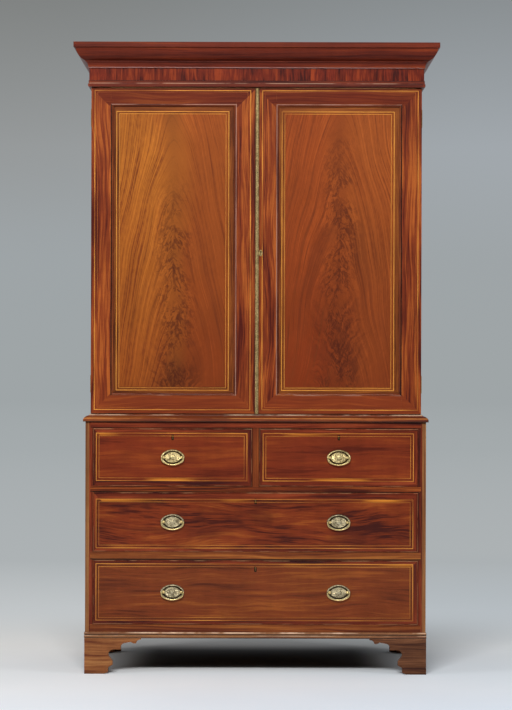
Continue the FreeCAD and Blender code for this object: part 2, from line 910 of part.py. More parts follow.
def make_drawer(name, centre_x, width, low_z, height, handles):
    """Cock-beaded front, dovetailed box, lock, oval plates and bails of one drawer."""
    half = width / 2 - drawer_gap
    x_range = (centre_x - half, centre_x + half)
    z_range = (low_z + drawer_gap, low_z + height - drawer_gap)
    front_back = base_front + drawer_front_thickness
    rear = base_front + drawer_length
    side_z = (low_z + drawer_runner_gap, z_range[1] - drawer_side_drop)
    bottom_z = side_z[0] + drawer_bottom_lift
    bottom_top = bottom_z + drawer_bottom_thickness
    back_z = (bottom_top, side_z[1] - drawer_back_drop)
    inner_half = half - drawer_side_thickness

    back_full = block(x_range, (rear - drawer_back_thickness, rear), back_z)
    bottom = block(
        (centre_x - inner_half - drawer_groove, centre_x + inner_half + drawer_groove),
        (front_back - drawer_groove, rear),
        (bottom_z, bottom_top),
    )
    side_ranges = (
        (x_range[0], x_range[0] + drawer_side_thickness),
        (x_range[1] - drawer_side_thickness, x_range[1]),
    )
    tail_length = drawer_front_thickness - drawer_front_lap
    sides = []
    front_tails = []
    rear_tails = []
    for side_x in side_ranges:
        into_front = dovetails(side_x, front_back, FRONT, side_z, tail_length)
        through_back = dovetails(
            side_x, rear - drawer_back_thickness, BACK, back_z, drawer_back_thickness)
        board = block(side_x, (front_back, rear), side_z).cut(back_full)
        sides.append(board.fuse(into_front + through_back).cut(bottom).removeSplitter())
        front_tails += into_front
        rear_tails += through_back
    back = back_full.cut(rear_tails)
    export(f"{name}_box", [*sides, back, bottom])

    bead = cock_bead_thickness
    front = block(x_range, (base_front + cock_bead_depth, front_back), z_range).fuse(block(
        (x_range[0] + bead, x_range[1] - bead),
        (base_front, front_back),
        (z_range[0] + bead, z_range[1] - bead),
    ))
    key_front = Vector(centre_x, base_front, low_z + height - drawer_keyhole_drop)
    lock_top = key_front.z + lock_above_pin
    lock = block(
        (centre_x - lock_width / 2, centre_x + lock_width / 2),
        (front_back - lock_depth, front_back),
        (lock_top - lock_height, lock_top),
    )
    plate_z = low_z + height / 2
    holes = [
        post_shank(
            Vector(handle_x + side * post_spacing / 2, base_front, plate_z), drawer_front_thickness)
        for handle_x in handles.values()
        for side in (-1, 1)
    ]
    key_way = keyhole(key_front, drawer_front_thickness - lock_depth)
    front = front.removeSplitter().cut([*front_tails, bottom, lock, key_way, *holes])
    nose_start = cock_bead_depth + cock_bead_projection - cock_bead_nose
    turns = [math.pi * step / bead_nose_flats for step in range(bead_nose_flats + 1)]
    bead_profile = [(0, 0), (bead, 0)] + [
        (bead / 2 * (1 + math.cos(turn)), nose_start + cock_bead_nose * math.sin(turn))
        for turn in turns
    ]
    beads = framed_moulding(bead_profile, x_range, z_range, base_front + cock_bead_depth)
    export(f"{name}_front", [front, *beads])
    export(f"{name}_lock", [lock])

    brasses = []
    for suffix, handle_x in handles.items():
        centre = Vector(handle_x, base_front, plate_z)
        brasses += handle_plate(centre)
        export(f"{name}_bail{suffix}", [bail(centre)])
    export(f"{name}_handle_plates", brasses)


# Handles --------------------------------------------------------------------------------------

def half_oval(half_width, half_height, end_radius):
    """Lower half of an oval from its left end to its right end, in short straight lengths.

    Each quarter is a tighter arc at the end and a flatter one that meets it smoothly below.
    """
    span = half_width - end_radius
    bow = (span ** 2 + half_height ** 2 - end_radius ** 2) / (2 * (half_height - end_radius))
    joint = math.atan2(bow - half_height, span)
    quarter = []
    for step in range(oval_end_steps):
        angle = joint * step / oval_end_steps
        quarter.append((span + end_radius * math.cos(angle), -end_radius * math.sin(angle)))
    for step in range(oval_bow_steps):
        angle = joint + (math.pi / 2 - joint) * step / oval_bow_steps
        quarter.append((bow * math.cos(angle), bow - half_height - bow * math.sin(angle)))
    left = [(-u, w) for u, w in quarter]
    return [*left, (0, -half_height), *reversed(quarter)]


def oval(half_width, half_height, end_radius):
    """Whole outline of an oval, lower half first."""
    lower = half_oval(half_width, half_height, end_radius)[:-1]
    return lower + [(-u, -w) for u, w in lower]


def oval_plate(centre, half_width, half_height, end_radius, thickness):
    """Thin oval plate standing on a face that looks to the front."""
    outline = oval(half_width, half_height, end_radius)
    return prism(outline, centre, RIGHT, UP, FRONT * thickness)


def mitred_bar(path, across, half_across, flats):
    """Bar with equal flats along a flat path of straight lengths, mitred at each bend.

    The path lies square to the direction across it, and one flat runs along its inner side.
    """
    outline = even_sided(half_across, flats)
    last = len(path) - 1
    rings = []
    for index, point in enumerate(path):
        coming = (path[max(index, 1)] - path[max(index, 1) - 1]).normalize()
        going = (path[min(index, last - 1) + 1] - path[min(index, last - 1)]).normalize()
        along = (coming + going).normalize()
        stretch = 1 / along.dot(coming)
        rings.append([
            point + along.cross(across) * (u * stretch) + across * w for u, w in outline])
    faces = []
    for ring in (rings[0], rings[-1]):
        faces.append(Part.Face(Part.makePolygon([*ring, ring[0]])))
    for near, far in zip(rings, rings[1:]):
        for index in range(flats):
            corners = [near[index - 1], near[index], far[index], far[index - 1], near[index - 1]]
            faces.append(Part.Face(Part.makePolygon(corners)))
    return Part.makeSolid(Part.makeShell(faces))


def post_shank(foot, length):
    """Square shank of a handle post, from the face of the drawer front inward."""
    return prism(even_sided(post_shank_half, 4), foot, RIGHT, UP, BACK * length)


def handle_post(foot):
    """Eight-sided post on a square shank through the drawer front, with its nut behind."""
    shank = post_shank(
        foot + FRONT * plate_thickness, plate_thickness + drawer_front_thickness + nut_thickness)
    head = prism(
        even_sided(post_head_radius, handle_flats),
        foot + FRONT * plate_thickness,
        RIGHT,
        UP,
        FRONT * (post_reach + post_head_radius - plate_thickness),
    )
    nut = prism(
        even_sided(nut_half, 4),
        foot + BACK * drawer_front_thickness,
        RIGHT,
        UP,
        BACK * nut_thickness,
    )
    return shank.fuse([head, nut])


def handle_plate(centre):
    """Oval plate with a raised middle and two posts with their nuts."""
    plate = oval_plate(centre, plate_width / 2, plate_height / 2, plate_end_radius, plate_thickness)
    boss = oval_plate(
        centre + FRONT * plate_thickness,
        plate_boss_width / 2,
        plate_boss_height / 2,
        plate_boss_end_radius,
        plate_boss_thickness,
    )
    plate = plate.fuse(boss)
    posts = []
    for side in (-1, 1):
        foot = centre + RIGHT * (side * post_spacing / 2)
        plate = plate.cut(post_shank(foot + FRONT * plate_thickness, plate_thickness))
        hole = bore(
            foot + FRONT * post_reach,
            RIGHT * side,
            bail_pin_radius + bail_pin_play,
            post_head_radius,
            handle_flats,
        )
        posts.append(handle_post(foot).cut(hole).removeSplitter())
    return [plate, *posts]


def bail(centre):
    """Drop handle: a bar bowed under its plate, straight beside the posts, with pins into them."""
    origin = centre + FRONT * post_reach
    straight = post_head_radius + bail_post_gap
    bow = half_oval(bail_half_width, bail_drop - straight, bail_shoulder_radius)
    flat_path = [
        (-bail_half_width, bail_radius),
        *((u, w - straight) for u, w in bow),
        (bail_half_width, bail_radius),
    ]
    path = [origin + RIGHT * u + UP * w for u, w in flat_path]
    bar = mitred_bar(path, FRONT, bail_radius, bail_flats)
    pin_length = bail_half_width - post_spacing / 2 - bail_pin_play
    pins = [
        round_pin(
            origin + RIGHT * (side * bail_half_width), LEFT * side, bail_pin_radius, pin_length)
        for side in (-1, 1)
    ]
    return bar.fuse(pins).removeSplitter()


# Trays ----------------------------------------------------------------------------------------

def tray_front_y():
    """Front of the trays, far enough in for the doors to swing clear as they come out."""
    return door_back + tray_setback


def tray_places():
    """Lower levels of the trays, shared out evenly up the case."""
    first = base_top_z + shelf_thickness + tray_first_rise
    last = upper_top_z - shelf_thickness
    pitch = (last - first) / tray_count
    return [first + index * pitch for index in range(tray_count)]


def make_tray(number, low_z):
    """Dovetailed tray with a dipped front and sides that sweep down to it."""
    half = upper_inner - tray_gap
    front_y = tray_front_y()
    front_back = front_y + tray_front_thickness
    rear = inner_back - tray_back_gap
    length = rear - front_y
    bottom_z = low_z + tray_bottom_lift
    bottom_top = bottom_z + drawer_bottom_thickness
    front_z = (low_z, low_z + tray_front_height)
    back_z = (bottom_top, low_z + tray_back_height)
    back_full = block((-half, half), (rear - drawer_back_thickness, rear), back_z)
    inner_half = half - tray_side_thickness
    bottom = block(
        (-inner_half - drawer_groove, inner_half + drawer_groove),
        (front_back - drawer_groove, rear),
        (bottom_z, bottom_top),
    )
    side_x = (inner_half, half)
    sweep_start = length * 0.2
    sweep_middle = length * 0.35
    sweep_end = length * 0.5
    middle_height = (tray_front_height + tray_back_height) / 2
    outline = [
        (tray_front_thickness, 0),
        (length, 0),
        (length, tray_back_height),
        (sweep_end, tray_back_height),
        (sweep_middle, middle_height, -0.12),
        (sweep_start, tray_front_height, 0.12),
        (tray_front_thickness, tray_front_height),
    ]
    corner = Vector(side_x[0], front_y, low_z)
    into_front = dovetails(side_x, front_back, FRONT, front_z, tray_front_thickness)
    through_back = dovetails(
        side_x, rear - drawer_back_thickness, BACK, back_z, drawer_back_thickness)
    side = prism(outline, corner, BACK, UP, RIGHT * tray_side_thickness).cut(back_full)
    side = side.fuse(into_front + through_back).cut(bottom).removeSplitter()
    back = back_full.cut(through_back + mirrored(through_back))

    dip = half * tray_dip_share
    front_outline = [
        (-half, 0),
        (half, 0),
        (half, tray_front_height),
        (dip, tray_front_height),
        (dip * 0.8, tray_front_height - tray_front_dip, 0.2),
        (-dip * 0.8, tray_front_height - tray_front_dip),
        (-dip, tray_front_height, 0.2),
        (-half, tray_front_height),
    ]
    front = prism(
        front_outline, Vector(0, front_y, low_z), RIGHT, UP, BACK * tray_front_thickness)
    front = front.cut([*into_front, *mirrored(into_front), bottom])
    export(f"tray_{number}", [front, side, *mirrored([side]), back, bottom])


def main():
    """Build every node of the press."""
    os.makedirs("parts", exist_ok=True)
    make_feet()
    make_base_moulding()
    make_base()
    make_waist_moulding()
    make_upper_case()
    make_cornice()
    make_hinges()
    make_doors()
    for opening in drawer_openings():
        make_drawer(*opening)
    for number, low_z in enumerate(tray_places(), start=1):
        make_tray(number, low_z)


main()
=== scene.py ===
"""Looks of a mahogany linen press: veneers, inlaid lines, stamped brass, and the plain studio round it.

Metres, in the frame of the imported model: X runs to the right, the front faces -Y and Z is up.
"""

import logging
import math
from dataclasses import KW_ONLY, dataclass
from enum import Enum
from typing import Sequence

import bpy
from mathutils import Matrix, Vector


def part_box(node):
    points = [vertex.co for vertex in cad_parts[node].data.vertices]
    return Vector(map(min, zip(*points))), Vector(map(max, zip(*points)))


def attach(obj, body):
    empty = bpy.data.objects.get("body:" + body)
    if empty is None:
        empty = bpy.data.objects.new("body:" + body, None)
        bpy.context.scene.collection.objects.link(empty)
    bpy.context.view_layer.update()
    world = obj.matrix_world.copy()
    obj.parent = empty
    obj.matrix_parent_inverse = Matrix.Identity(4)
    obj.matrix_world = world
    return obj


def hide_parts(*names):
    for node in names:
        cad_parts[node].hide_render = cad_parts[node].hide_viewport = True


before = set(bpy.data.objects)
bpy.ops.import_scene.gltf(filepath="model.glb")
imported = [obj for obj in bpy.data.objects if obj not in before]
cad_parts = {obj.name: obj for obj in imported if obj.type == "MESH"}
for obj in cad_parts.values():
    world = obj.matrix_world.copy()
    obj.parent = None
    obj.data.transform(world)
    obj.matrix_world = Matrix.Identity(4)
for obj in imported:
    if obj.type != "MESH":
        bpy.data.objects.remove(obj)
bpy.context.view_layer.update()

log = logging.getLogger("linen_press")

Socket = bpy.types.NodeSocket
Tone = tuple[float, float, float, float]
Point = tuple[float, float, float]
Feed = Socket | float | Tone | Point | None

GAMMA_KNEE = 0.04045
HASH_TURN = 12.9898
HASH_REACH = 43.7585
SHARP_ANGLE = math.radians(38)


def tone(red: int, green: int, blue: int) -> Tone:
    """Turns a colour as it shows on a screen into the linear values that shaders take.

    Args:
        red: red from 0 to 255.
        green: green from 0 to 255.
        blue: blue from 0 to 255.

    Returns:
        The linear colour, with an alpha of 1.
    """
    shares = [channel / 255 for channel in (red, green, blue)]
    linear = [
        share / 12.92 if share <= GAMMA_KNEE else ((share + 0.055) / 1.055) ** 2.4
        for share in shares
    ]
    return (*linear, 1.0)


def circle(middle: Vector, first: Vector, second: Vector, radius: float, sides: int) -> list[Point]:
    """Returns points round a circle.

    Args:
        middle: its middle.
        first: direction of its first point.
        second: direction of the point a quarter turn on.
        radius: its radius.
        sides: how many points go round it.

    Returns:
        The points in order.
    """
    angles = [2 * math.pi * index / sides for index in range(sides)]
    return [
        tuple(middle + first * (radius * math.cos(angle)) + second * (radius * math.sin(angle)))
        for angle in angles]


TO_RIGHT, TO_BACK, UP = Vector((1, 0, 0)), Vector((0, 1, 0)), Vector((0, 0, 1))


@dataclass(frozen=True)
class Rectangle:
    """An upright rectangle seen from the front, by its limits in X and Z."""

    left: float = 0.0
    right: float = 1.0
    low: float = 0.0
    high: float = 1.0

    @classmethod
    def of_node(cls, node: str) -> "Rectangle":
        """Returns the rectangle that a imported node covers, seen from the front."""
        low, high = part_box(node)
        return cls(low.x, high.x, low.z, high.z)

    @property
    def centre(self) -> tuple[float, float]:
        """Middle of the rectangle in X and Z."""
        return (self.left + self.right) / 2, (self.low + self.high) / 2

    @property
    def half(self) -> tuple[float, float]:
        """Half of the width and half of the height."""
        return (self.right - self.left) / 2, (self.high - self.low) / 2

    def brought_in(self, left: float, right: float, top: float, bottom: float) -> "Rectangle":
        """Returns the rectangle brought in by its own amount on each side."""
        return Rectangle(self.left + left, self.right - right, self.low + bottom, self.high - top)

    def inset(self, sides: float, top: float, bottom: float) -> "Rectangle":
        """Returns the rectangle brought in by one amount at both sides."""
        return self.brought_in(sides, sides, top, bottom)

    def corners(self) -> list[tuple[float, float]]:
        """Returns the four corners in X and Z, going round from the lower left."""
        return [
            (self.left, self.low), (self.right, self.low),
            (self.right, self.high), (self.left, self.high)]


# Shader trees

class Graph:
    """A shader tree in the making, with a short call for each kind of node."""

    def __init__(self, tree: bpy.types.NodeTree) -> None:
        """Keeps the tree that the calls add to."""
        self.tree = tree

    def put(self, socket: Socket, value: Feed) -> None:
        """Feeds a socket from another one, or sets its own value.

        Args:
            socket: the socket that is fed.
            value: another socket, a plain value, or None to leave it alone.
        """
        if isinstance(value, bpy.types.NodeSocket):
            self.tree.links.new(value, socket)
        elif value is not None:
            socket.default_value = value

    def add(self, kind: str, feeds: dict[str | int, Feed] | None = None,
            **settings: str | int | bool) -> bpy.types.Node:
        """Adds a node.

        Args:
            kind: Blender's name for the kind of node.
            feeds: what goes into its inputs, by name or place.
            settings: its other settings.

        Returns:
            The new node.
        """
        node = self.tree.nodes.new(kind)
        for name, value in settings.items():
            setattr(node, name, value)
        for key, value in (feeds or {}).items():
            self.put(node.inputs[key], value)
        return node

    def use(self, tree: bpy.types.NodeTree, feeds: dict[str, Feed]) -> Sequence[Socket]:
        """Adds an effect's group with its own values.

        Args:
            tree: the group.
            feeds: what goes into its inputs, by name.

        Returns:
            Its outputs, found by name.
        """
        node = self.tree.nodes.new("ShaderNodeGroup")
        node.node_tree = tree
        for label, value in feeds.items():
            self.put(node.inputs[label], value)
        return node.outputs

    def place(self) -> Socket:
        """Returns the place on the object, which stays with it when it moves."""
        return self.add("ShaderNodeTexCoord").outputs["Object"]

    def split(self, vector: Feed) -> tuple[Socket, Socket, Socket]:
        """Returns the X, Y and Z of a vector."""
        outputs = self.add("ShaderNodeSeparateXYZ", {0: vector}).outputs
        return outputs[0], outputs[1], outputs[2]

    def join(self, x: Feed, y: Feed, z: Feed) -> Socket:
        """Returns the vector of three values."""
        return self.add("ShaderNodeCombineXYZ", {0: x, 1: y, 2: z}).outputs[0]

    def math(self, operation: str, first: Feed, second: Feed = 0.0) -> Socket:
        """Returns the result of a math node on one or two values."""
        return self.add("ShaderNodeMath", {0: first, 1: second}, operation=operation).outputs[0]

    def product(self, *factors: Feed) -> Feed:
        """Multiplies values.

        Args:
            factors: one or more values.

        Returns:
            Their product.
        """
        result = factors[0]
        for factor in factors[1:]:
            result = self.math("MULTIPLY", result, factor)
        return result

    def total(self, *terms: Feed) -> Feed:
        """Adds values up.

        Args:
            terms: one or more values.

        Returns:
            Their sum.
        """
        result = terms[0]
        for term in terms[1:]:
            result = self.math("ADD", result, term)
        return result

    def minus(self, value: Feed, taken: Feed) -> Socket:
        """Returns one value less another."""
        return self.math("SUBTRACT", value, taken)

    def rest(self, share: Feed) -> Socket:
        """Returns what a share leaves of 1."""
        return self.minus(1.0, share)

    def ratio(self, value: Feed, unit: Feed) -> Socket:
        """Returns one value divided by another."""
        return self.math("DIVIDE", value, unit)

    def size(self, value: Feed) -> Socket:
        """Returns a value without its sign."""
        return self.math("ABSOLUTE", value)

    def off(self, value: Feed, middle: Feed) -> Socket:
        """Returns how far a value is from a middle one, either way."""
        return self.size(self.minus(value, middle))

    def sign(self, value: Feed, amount: float) -> Socket:
        """Returns an amount with the sign of a value."""
        return self.product(self.math("SIGN", value), amount)

    def over(self, value: Feed, limit: Feed) -> Socket:
        """Returns 1 where a value is over a limit, and 0 elsewhere."""
        return self.math("GREATER_THAN", value, limit)

    def under(self, value: Feed, limit: Feed) -> Socket:
        """Returns 1 where a value is under a limit, and 0 elsewhere."""
        return self.math("LESS_THAN", value, limit)

    def chance(self, number: Feed) -> Socket:
        """Returns a scattered value from 0 to 1, always the same for the same number."""
        wave = self.math("SINE", self.product(number, HASH_TURN))
        return self.math("FRACT", self.product(wave, HASH_REACH))

    def spread(self, value: Feed, low: Feed, high: Feed, to_low: float = 0.0,
               to_high: float = 1.0) -> Socket:
        """Returns a value carried smoothly from one range to another and held inside it."""
        return self.add(
            "ShaderNodeMapRange", {0: value, 1: low, 2: high, 3: to_low, 4: to_high},
            interpolation_type="SMOOTHSTEP").outputs[0]

    def pick(self, choice: Feed, off: Feed, on: Feed) -> Socket:
        """Returns one value where choice is 0, the other where it is 1, and a blend between."""
        return self.add("ShaderNodeMix", {0: choice, 2: off, 3: on}, data_type="FLOAT").outputs[0]

    def blend(self, factor: Feed, first: Feed, second: Feed, mode: str = "MIX") -> Socket:
        """Returns two colours blended by a factor."""
        return self.add(
            "ShaderNodeMix", {0: factor, 6: first, 7: second}, data_type="RGBA", blend_type=mode,
            clamp_factor=True).outputs[2]

    def lay(self, ground: Feed, tint: Feed, *shares: Feed) -> Socket:
        """Returns a colour with a tint laid on it, as far as the product of the shares goes."""
        return self.blend(self.product(*shares), ground, tint)

    def times(self, first: Feed, second: Feed) -> Socket:
        """Returns two colours multiplied."""
        return self.blend(1.0, first, second, "MULTIPLY")

    def shaded(self, colour: Feed, shade: Feed) -> Socket:
        """Returns a colour multiplied by one factor, darker below 1 and lighter above it."""
        return self.times(colour, self.join(shade, shade, shade))

    def noise(self, place: Feed, scale: float = 1.0, detail: float = 2.0, roughness: float = 0.5,
              distortion: float = 0.0) -> Socket:
        """Returns cloudy noise from about 0.2 to 0.8 at a place."""
        feeds = {"Vector": place, "Scale": scale, "Detail": detail, "Roughness": roughness,
                 "Distortion": distortion}
        return self.add("ShaderNodeTexNoise", feeds).outputs[0]

    def clouds(self, first: Feed, first_scale: float, second: Feed, second_scale: float,
               third: Feed = 0.0, **settings: float) -> Socket:
        """Returns noise over two values, each with a scale of its own, and a third one as it is."""
        place = self.join(self.product(first, first_scale), self.product(second, second_scale), third)
        return self.noise(place, **settings)

    def swing(self, value: Feed, reach: Feed) -> Socket:
        """Returns noise turned into a push of up to about a third of reach either way."""
        return self.product(self.minus(value, 0.5), reach)


class Effect(Graph):
    """A group of shader nodes that several materials share."""

    def __init__(self, name: str, takes: dict[str, Feed], gives: dict[str, Feed]) -> None:
        """Makes the group and its sockets.

        Args:
            name: name of the group.
            takes: inputs with their usual values.
            gives: outputs, each with a value of its kind.
        """
        tree = bpy.data.node_groups.new(name, "ShaderNodeTree")
        super().__init__(tree)
        for label, value in takes.items():
            socket = tree.interface.new_socket(name=label, in_out="INPUT", socket_type=self.kind(value))
            socket.default_value = value
        for label, value in gives.items():
            tree.interface.new_socket(name=label, in_out="OUTPUT", socket_type=self.kind(value))
        self.source = tree.nodes.new("NodeGroupInput")
        self.sink = tree.nodes.new("NodeGroupOutput")

    @staticmethod
    def kind(value: Feed) -> str:
        """Returns the kind of socket that holds a value."""
        if isinstance(value, tuple):
            return "NodeSocketColor" if len(value) == 4 else "NodeSocketVector"
        return "NodeSocketFloat"

    def take(self, label: str) -> Socket:
        """Returns the input of that name."""
        return self.source.outputs[label]

    def give(self, label: str, value: Feed) -> None:
        """Sends a value out under that name."""
        self.put(self.sink.inputs[label], value)


NOWHERE: Point = (0.0, 0.0, 0.0)
WHITE: Tone = (1.0, 1.0, 1.0, 1.0)
# Near-black for pores, dirt and dark joints, and also for painted shadow and painted shade.
SOOT_AND_SHADOW = tone(22, 12, 8)
# Pale and golden tones of painted highlights along mouldings.
PAINTED_HIGHLIGHT = tone(232, 196, 164)
GOLDEN_HIGHLIGHT = tone(206, 138, 70)


class MitredRun(Effect):
    """Grain along the four sides of a rectangle, mitred at its corners."""

    right_shift = 2.3
    high_shift = 4.1

    def __init__(self) -> None:
        """Gives the run, how far in from the edge a place is, and 1 on the uprights."""
        super().__init__(
            "mitred run",
            {"Place": NOWHERE, "Centre X": 0.0, "Centre Z": 0.0, "Half Width": 1.0, "Half Height": 1.0},
            {"Run": NOWHERE, "Inset": 0.0, "Upright": 0.0})
        x, y, z = self.split(self.take("Place"))
        from_x = self.minus(x, self.take("Centre X"))
        from_z = self.minus(z, self.take("Centre Z"))
        inset_x = self.minus(self.take("Half Width"), self.size(from_x))
        inset_z = self.minus(self.take("Half Height"), self.size(from_z))
        upright = self.under(inset_x, inset_z)
        along = self.pick(
            upright, self.total(x, self.sign(from_z, self.high_shift)),
            self.total(z, self.sign(from_x, self.right_shift)))
        self.give("Run", self.join(along, self.pick(upright, z, x), y))
        self.give("Inset", self.math("MINIMUM", inset_x, inset_z))
        self.give("Upright", upright)


class WrappedRun(Effect):
    """Grain along a moulding that goes across the front and back along both sides."""

    side_shift = 3.7

    def __init__(self) -> None:
        """Gives the run alone."""
        super().__init__(
            "wrapped run", {"Place": NOWHERE, "Half Width": 1.0, "Front": -1.0}, {"Run": NOWHERE})
        x, y, z = self.split(self.take("Place"))
        past_side = self.minus(self.size(x), self.take("Half Width"))
        past_front = self.minus(self.take("Front"), y)
        front = self.over(past_front, past_side)
        side_start = self.total(y, self.sign(x, self.side_shift))
        self.give("Run", self.join(self.pick(front, side_start, x), z, self.pick(front, x, y)))


class StraightGrain(Effect):
    """Colour of wood that is cut along the grain: streaks, ripple and open pores."""

    def __init__(self) -> None:
        """Gives the colour and the relief."""
        super().__init__(
            "straight grain",
            {"Run": NOWHERE, "Seed": 0.0, "Light": WHITE, "Middle": WHITE, "Dark": WHITE,
             "Streak Width": 0.012, "Streak Length": 0.5, "Contrast": 1.0, "Wander": 0.012,
             "Ripple": 0.1},
            {"Colour": WHITE, "Height": 0.0})
        seed, width = self.take("Seed"), self.take("Streak Width")
        along, across, depth = self.split(self.take("Run"))
        along = self.total(along, self.product(seed, 3.7))
        across = self.total(across, self.product(seed, 1.9))
        bend = self.clouds(along, 2.2, across, 5.0, seed)
        across = self.total(across, self.swing(bend, self.product(self.take("Wander"), 4.0)))
        long = self.ratio(along, self.take("Streak Length"))
        wide, deep = self.ratio(across, width), self.ratio(depth, width)
        broad = self.clouds(long, 0.8, wide, 0.22, self.product(deep, 0.22))
        streak = self.noise(self.join(self.product(long, 1.6), wide, deep), detail=3.0, roughness=0.6)
        fine = self.clouds(long, 3.0, wide, 5.0, self.product(deep, 5.0))
        mixed = self.total(self.swing(broad, 1.5), self.swing(streak, 1.6), self.swing(fine, 0.9))
        level = self.total(self.product(mixed, self.take("Contrast")), 0.5)
        colour = self.blend(self.spread(level, 0.05, 0.5), self.take("Dark"), self.take("Middle"))
        colour = self.blend(self.spread(level, 0.5, 0.98), colour, self.take("Light"))
        # Ripple: painted sheen that lightens and darkens the colour in bands across the grain.
        ripple = self.clouds(along, 34.0, across, 9.0, depth, detail=1.0)
        shine = self.total(self.product(self.swing(ripple, 4.0), self.take("Ripple")), 1.0)
        pores = self.clouds(along, 85.0, across, 1300.0, self.product(depth, 1300.0), detail=1.0)
        pore = self.spread(pores, 0.60, 0.70)
        self.give("Colour", self.lay(self.shaded(colour, shine), SOOT_AND_SHADOW, pore, 0.30))
        self.give("Height", self.total(self.product(fine, 0.25), self.product(pore, -0.6)))


class FlameFigure(Effect):
    """Veneer cut from a fork: steep streaks that meet in a curly feather along the middle."""

    gloom_tint: Tone = (0.70, 0.56, 0.66, 1.0)
    bright_tint: Tone = (1.34, 1.40, 1.40, 1.0)

    def __init__(self) -> None:
        """Lays streaks, feather, fronds and pores on each other, and gives colour and relief."""
        super().__init__(
            "flame figure",
            {"Place": NOWHERE, "Centre X": 0.0, "Low": 0.0, "Height": 1.0, "Seed": 0.0,
             "Left Streaks": 1.0, "Right Streaks": 0.6, "Feather Top": 0.8, "Frond Top": 0.25,
             "Left": WHITE, "Right": WHITE, "Streak": WHITE, "Dark": WHITE, "Haze": WHITE},
            {"Colour": WHITE, "Height": 0.0})
        x, _, z = self.split(self.take("Place"))
        self.seed, self.dark = self.take("Seed"), self.take("Dark")
        self.x = self.minus(x, self.take("Centre X"))
        self.z = self.minus(z, self.take("Low"))
        self.share = self.ratio(self.z, self.take("Height"))
        sway = self.figure(1.6, 2.2, 0.0, detail=1.0)
        self.side = self.total(self.x, self.swing(sway, 0.070))
        self.near = self.size(self.side)
        self.hand = self.total(self.seed, self.sign(self.side, 3.0))
        lift = self.figure(6.0, 2.6, 4.0, detail=1.0)
        rise = self.product(self.math("POWER", self.near, 1.5), 10.0)
        self.arch = self.total(self.z, self.swing(lift, 0.22), rise)
        self.cloud = self.figure(5.0, 2.4, 11.0)
        self.patches = self.clouds(self.side, 15.0, self.z, 11.0, self.total(self.seed, 15.0))
        self.fine = self.clouds(self.arch, 95.0, self.z, 3.4, self.hand, roughness=0.6)
        base = self.ground()
        self.bright = self.times(base, self.bright_tint)
        colour = self.fronds(self.feather(self.streaks(base)))
        pores = self.clouds(self.arch, 300.0, self.side, 150.0, self.seed, detail=1.0)
        pore = self.spread(pores, 0.60, 0.74)
        self.give("Colour", self.lay(colour, SOOT_AND_SHADOW, pore, 0.20))
        self.give("Height", self.total(self.product(self.fine, 0.3), self.product(pore, -0.5)))

    def figure(self, x_scale: float, z_scale: float, shift: float, **settings: float) -> Socket:
        """Returns noise over the veneer; the shift keeps it apart from the other noises."""
        slot = self.total(self.seed, shift) if shift else self.seed
        return self.clouds(self.x, x_scale, self.z, z_scale, slot, **settings)

    def ground(self) -> Socket:
        """Colours what lies under the figure.

        Returns:
            The colour, which turns across the panel and darkens downwards.
        """
        turning = self.spread(self.total(self.side, self.swing(self.cloud, 0.30)), -0.10, 0.09)
        base = self.blend(turning, self.take("Left"), self.take("Right"))
        gloom = self.spread(self.total(self.share, self.swing(self.cloud, 0.6)), 0.85, 0.02)
        return self.blend(gloom, base, self.times(base, self.gloom_tint))

    def streaks(self, base: Socket) -> Socket:
        """Lays the steep streaks on the ground.

        Args:
            base: colour of the ground.

        Returns:
            The colour with the streaks and a few dark ridges.
        """
        broad = self.clouds(self.arch, 6.0, self.z, 1.6, self.total(self.seed, 7.0))
        streak = self.clouds(
            self.arch, 30.0, self.z, 1.1, self.total(self.hand, 2.0), detail=4.0, roughness=0.65)
        fleck = self.figure(120.0, 44.0, 5.0)
        strength = self.product(
            self.pick(self.spread(self.side, -0.05, 0.05), self.take("Left Streaks"),
                      self.take("Right Streaks")),
            self.spread(self.near, 0.004, 0.060, 0.35, 1.0))
        mixed = self.total(
            self.swing(broad, 0.7), self.swing(streak, 1.9), self.swing(self.fine, 1.3),
            self.swing(fleck, 0.5))
        level = self.total(self.product(mixed, strength), 0.5)
        colour = self.blend(self.spread(level, 0.52, 0.14), base, self.take("Streak"))
        colour = self.blend(self.spread(level, 0.54, 0.90), colour, self.bright)
        ridge = self.clouds(self.arch, 8.0, self.z, 1.1, self.total(self.seed, 21.0), detail=1.0)
        line = self.spread(self.off(ridge, 0.5), 0.020, 0.002)
        return self.lay(colour, self.dark, line, self.spread(self.cloud, 0.36, 0.52), 0.30)

    def feather(self, colour: Socket) -> Socket:
        """Lays the curly feather along the middle.

        Args:
            colour: the colour so far.

        Returns:
            The colour with haze, curls, crumbs and a broken seam.
        """
        top = self.take("Feather Top")
        wake = self.spread(
            self.total(self.share, self.swing(self.cloud, 0.25)), top, self.minus(top, 0.30))
        colour = self.lay(
            colour, self.take("Haze"), self.spread(self.near, 0.050, 0.004),
            self.spread(self.cloud, 0.35, 0.65, 0.10, 0.50))
        curls = self.clouds(
            self.side, 62.0, self.total(self.z, self.product(self.near, 0.9)), 46.0, self.seed,
            detail=4.0, roughness=0.65, distortion=1.2)
        curled = self.product(
            self.spread(self.near, 0.088, 0.015), wake, self.spread(self.patches, 0.28, 0.50))
        colour = self.lay(colour, self.dark, curled, self.spread(curls, 0.49, 0.57), 0.62)
        colour = self.lay(colour, self.bright, curled, self.spread(curls, 0.47, 0.33), 0.55)
        crumbs = self.figure(150.0, 110.0, 0.0, detail=3.0, roughness=0.7)
        colour = self.lay(colour, self.dark, curled, self.spread(crumbs, 0.54, 0.66), 0.42)
        split = self.figure(8.0, 30.0, 17.0, detail=3.0)
        seam = self.spread(
            self.size(self.total(self.side, self.swing(split, 0.030))), 0.0065, 0.0010)
        return self.lay(colour, self.dark, seam, wake, self.spread(self.patches, 0.42, 0.56), 0.55)

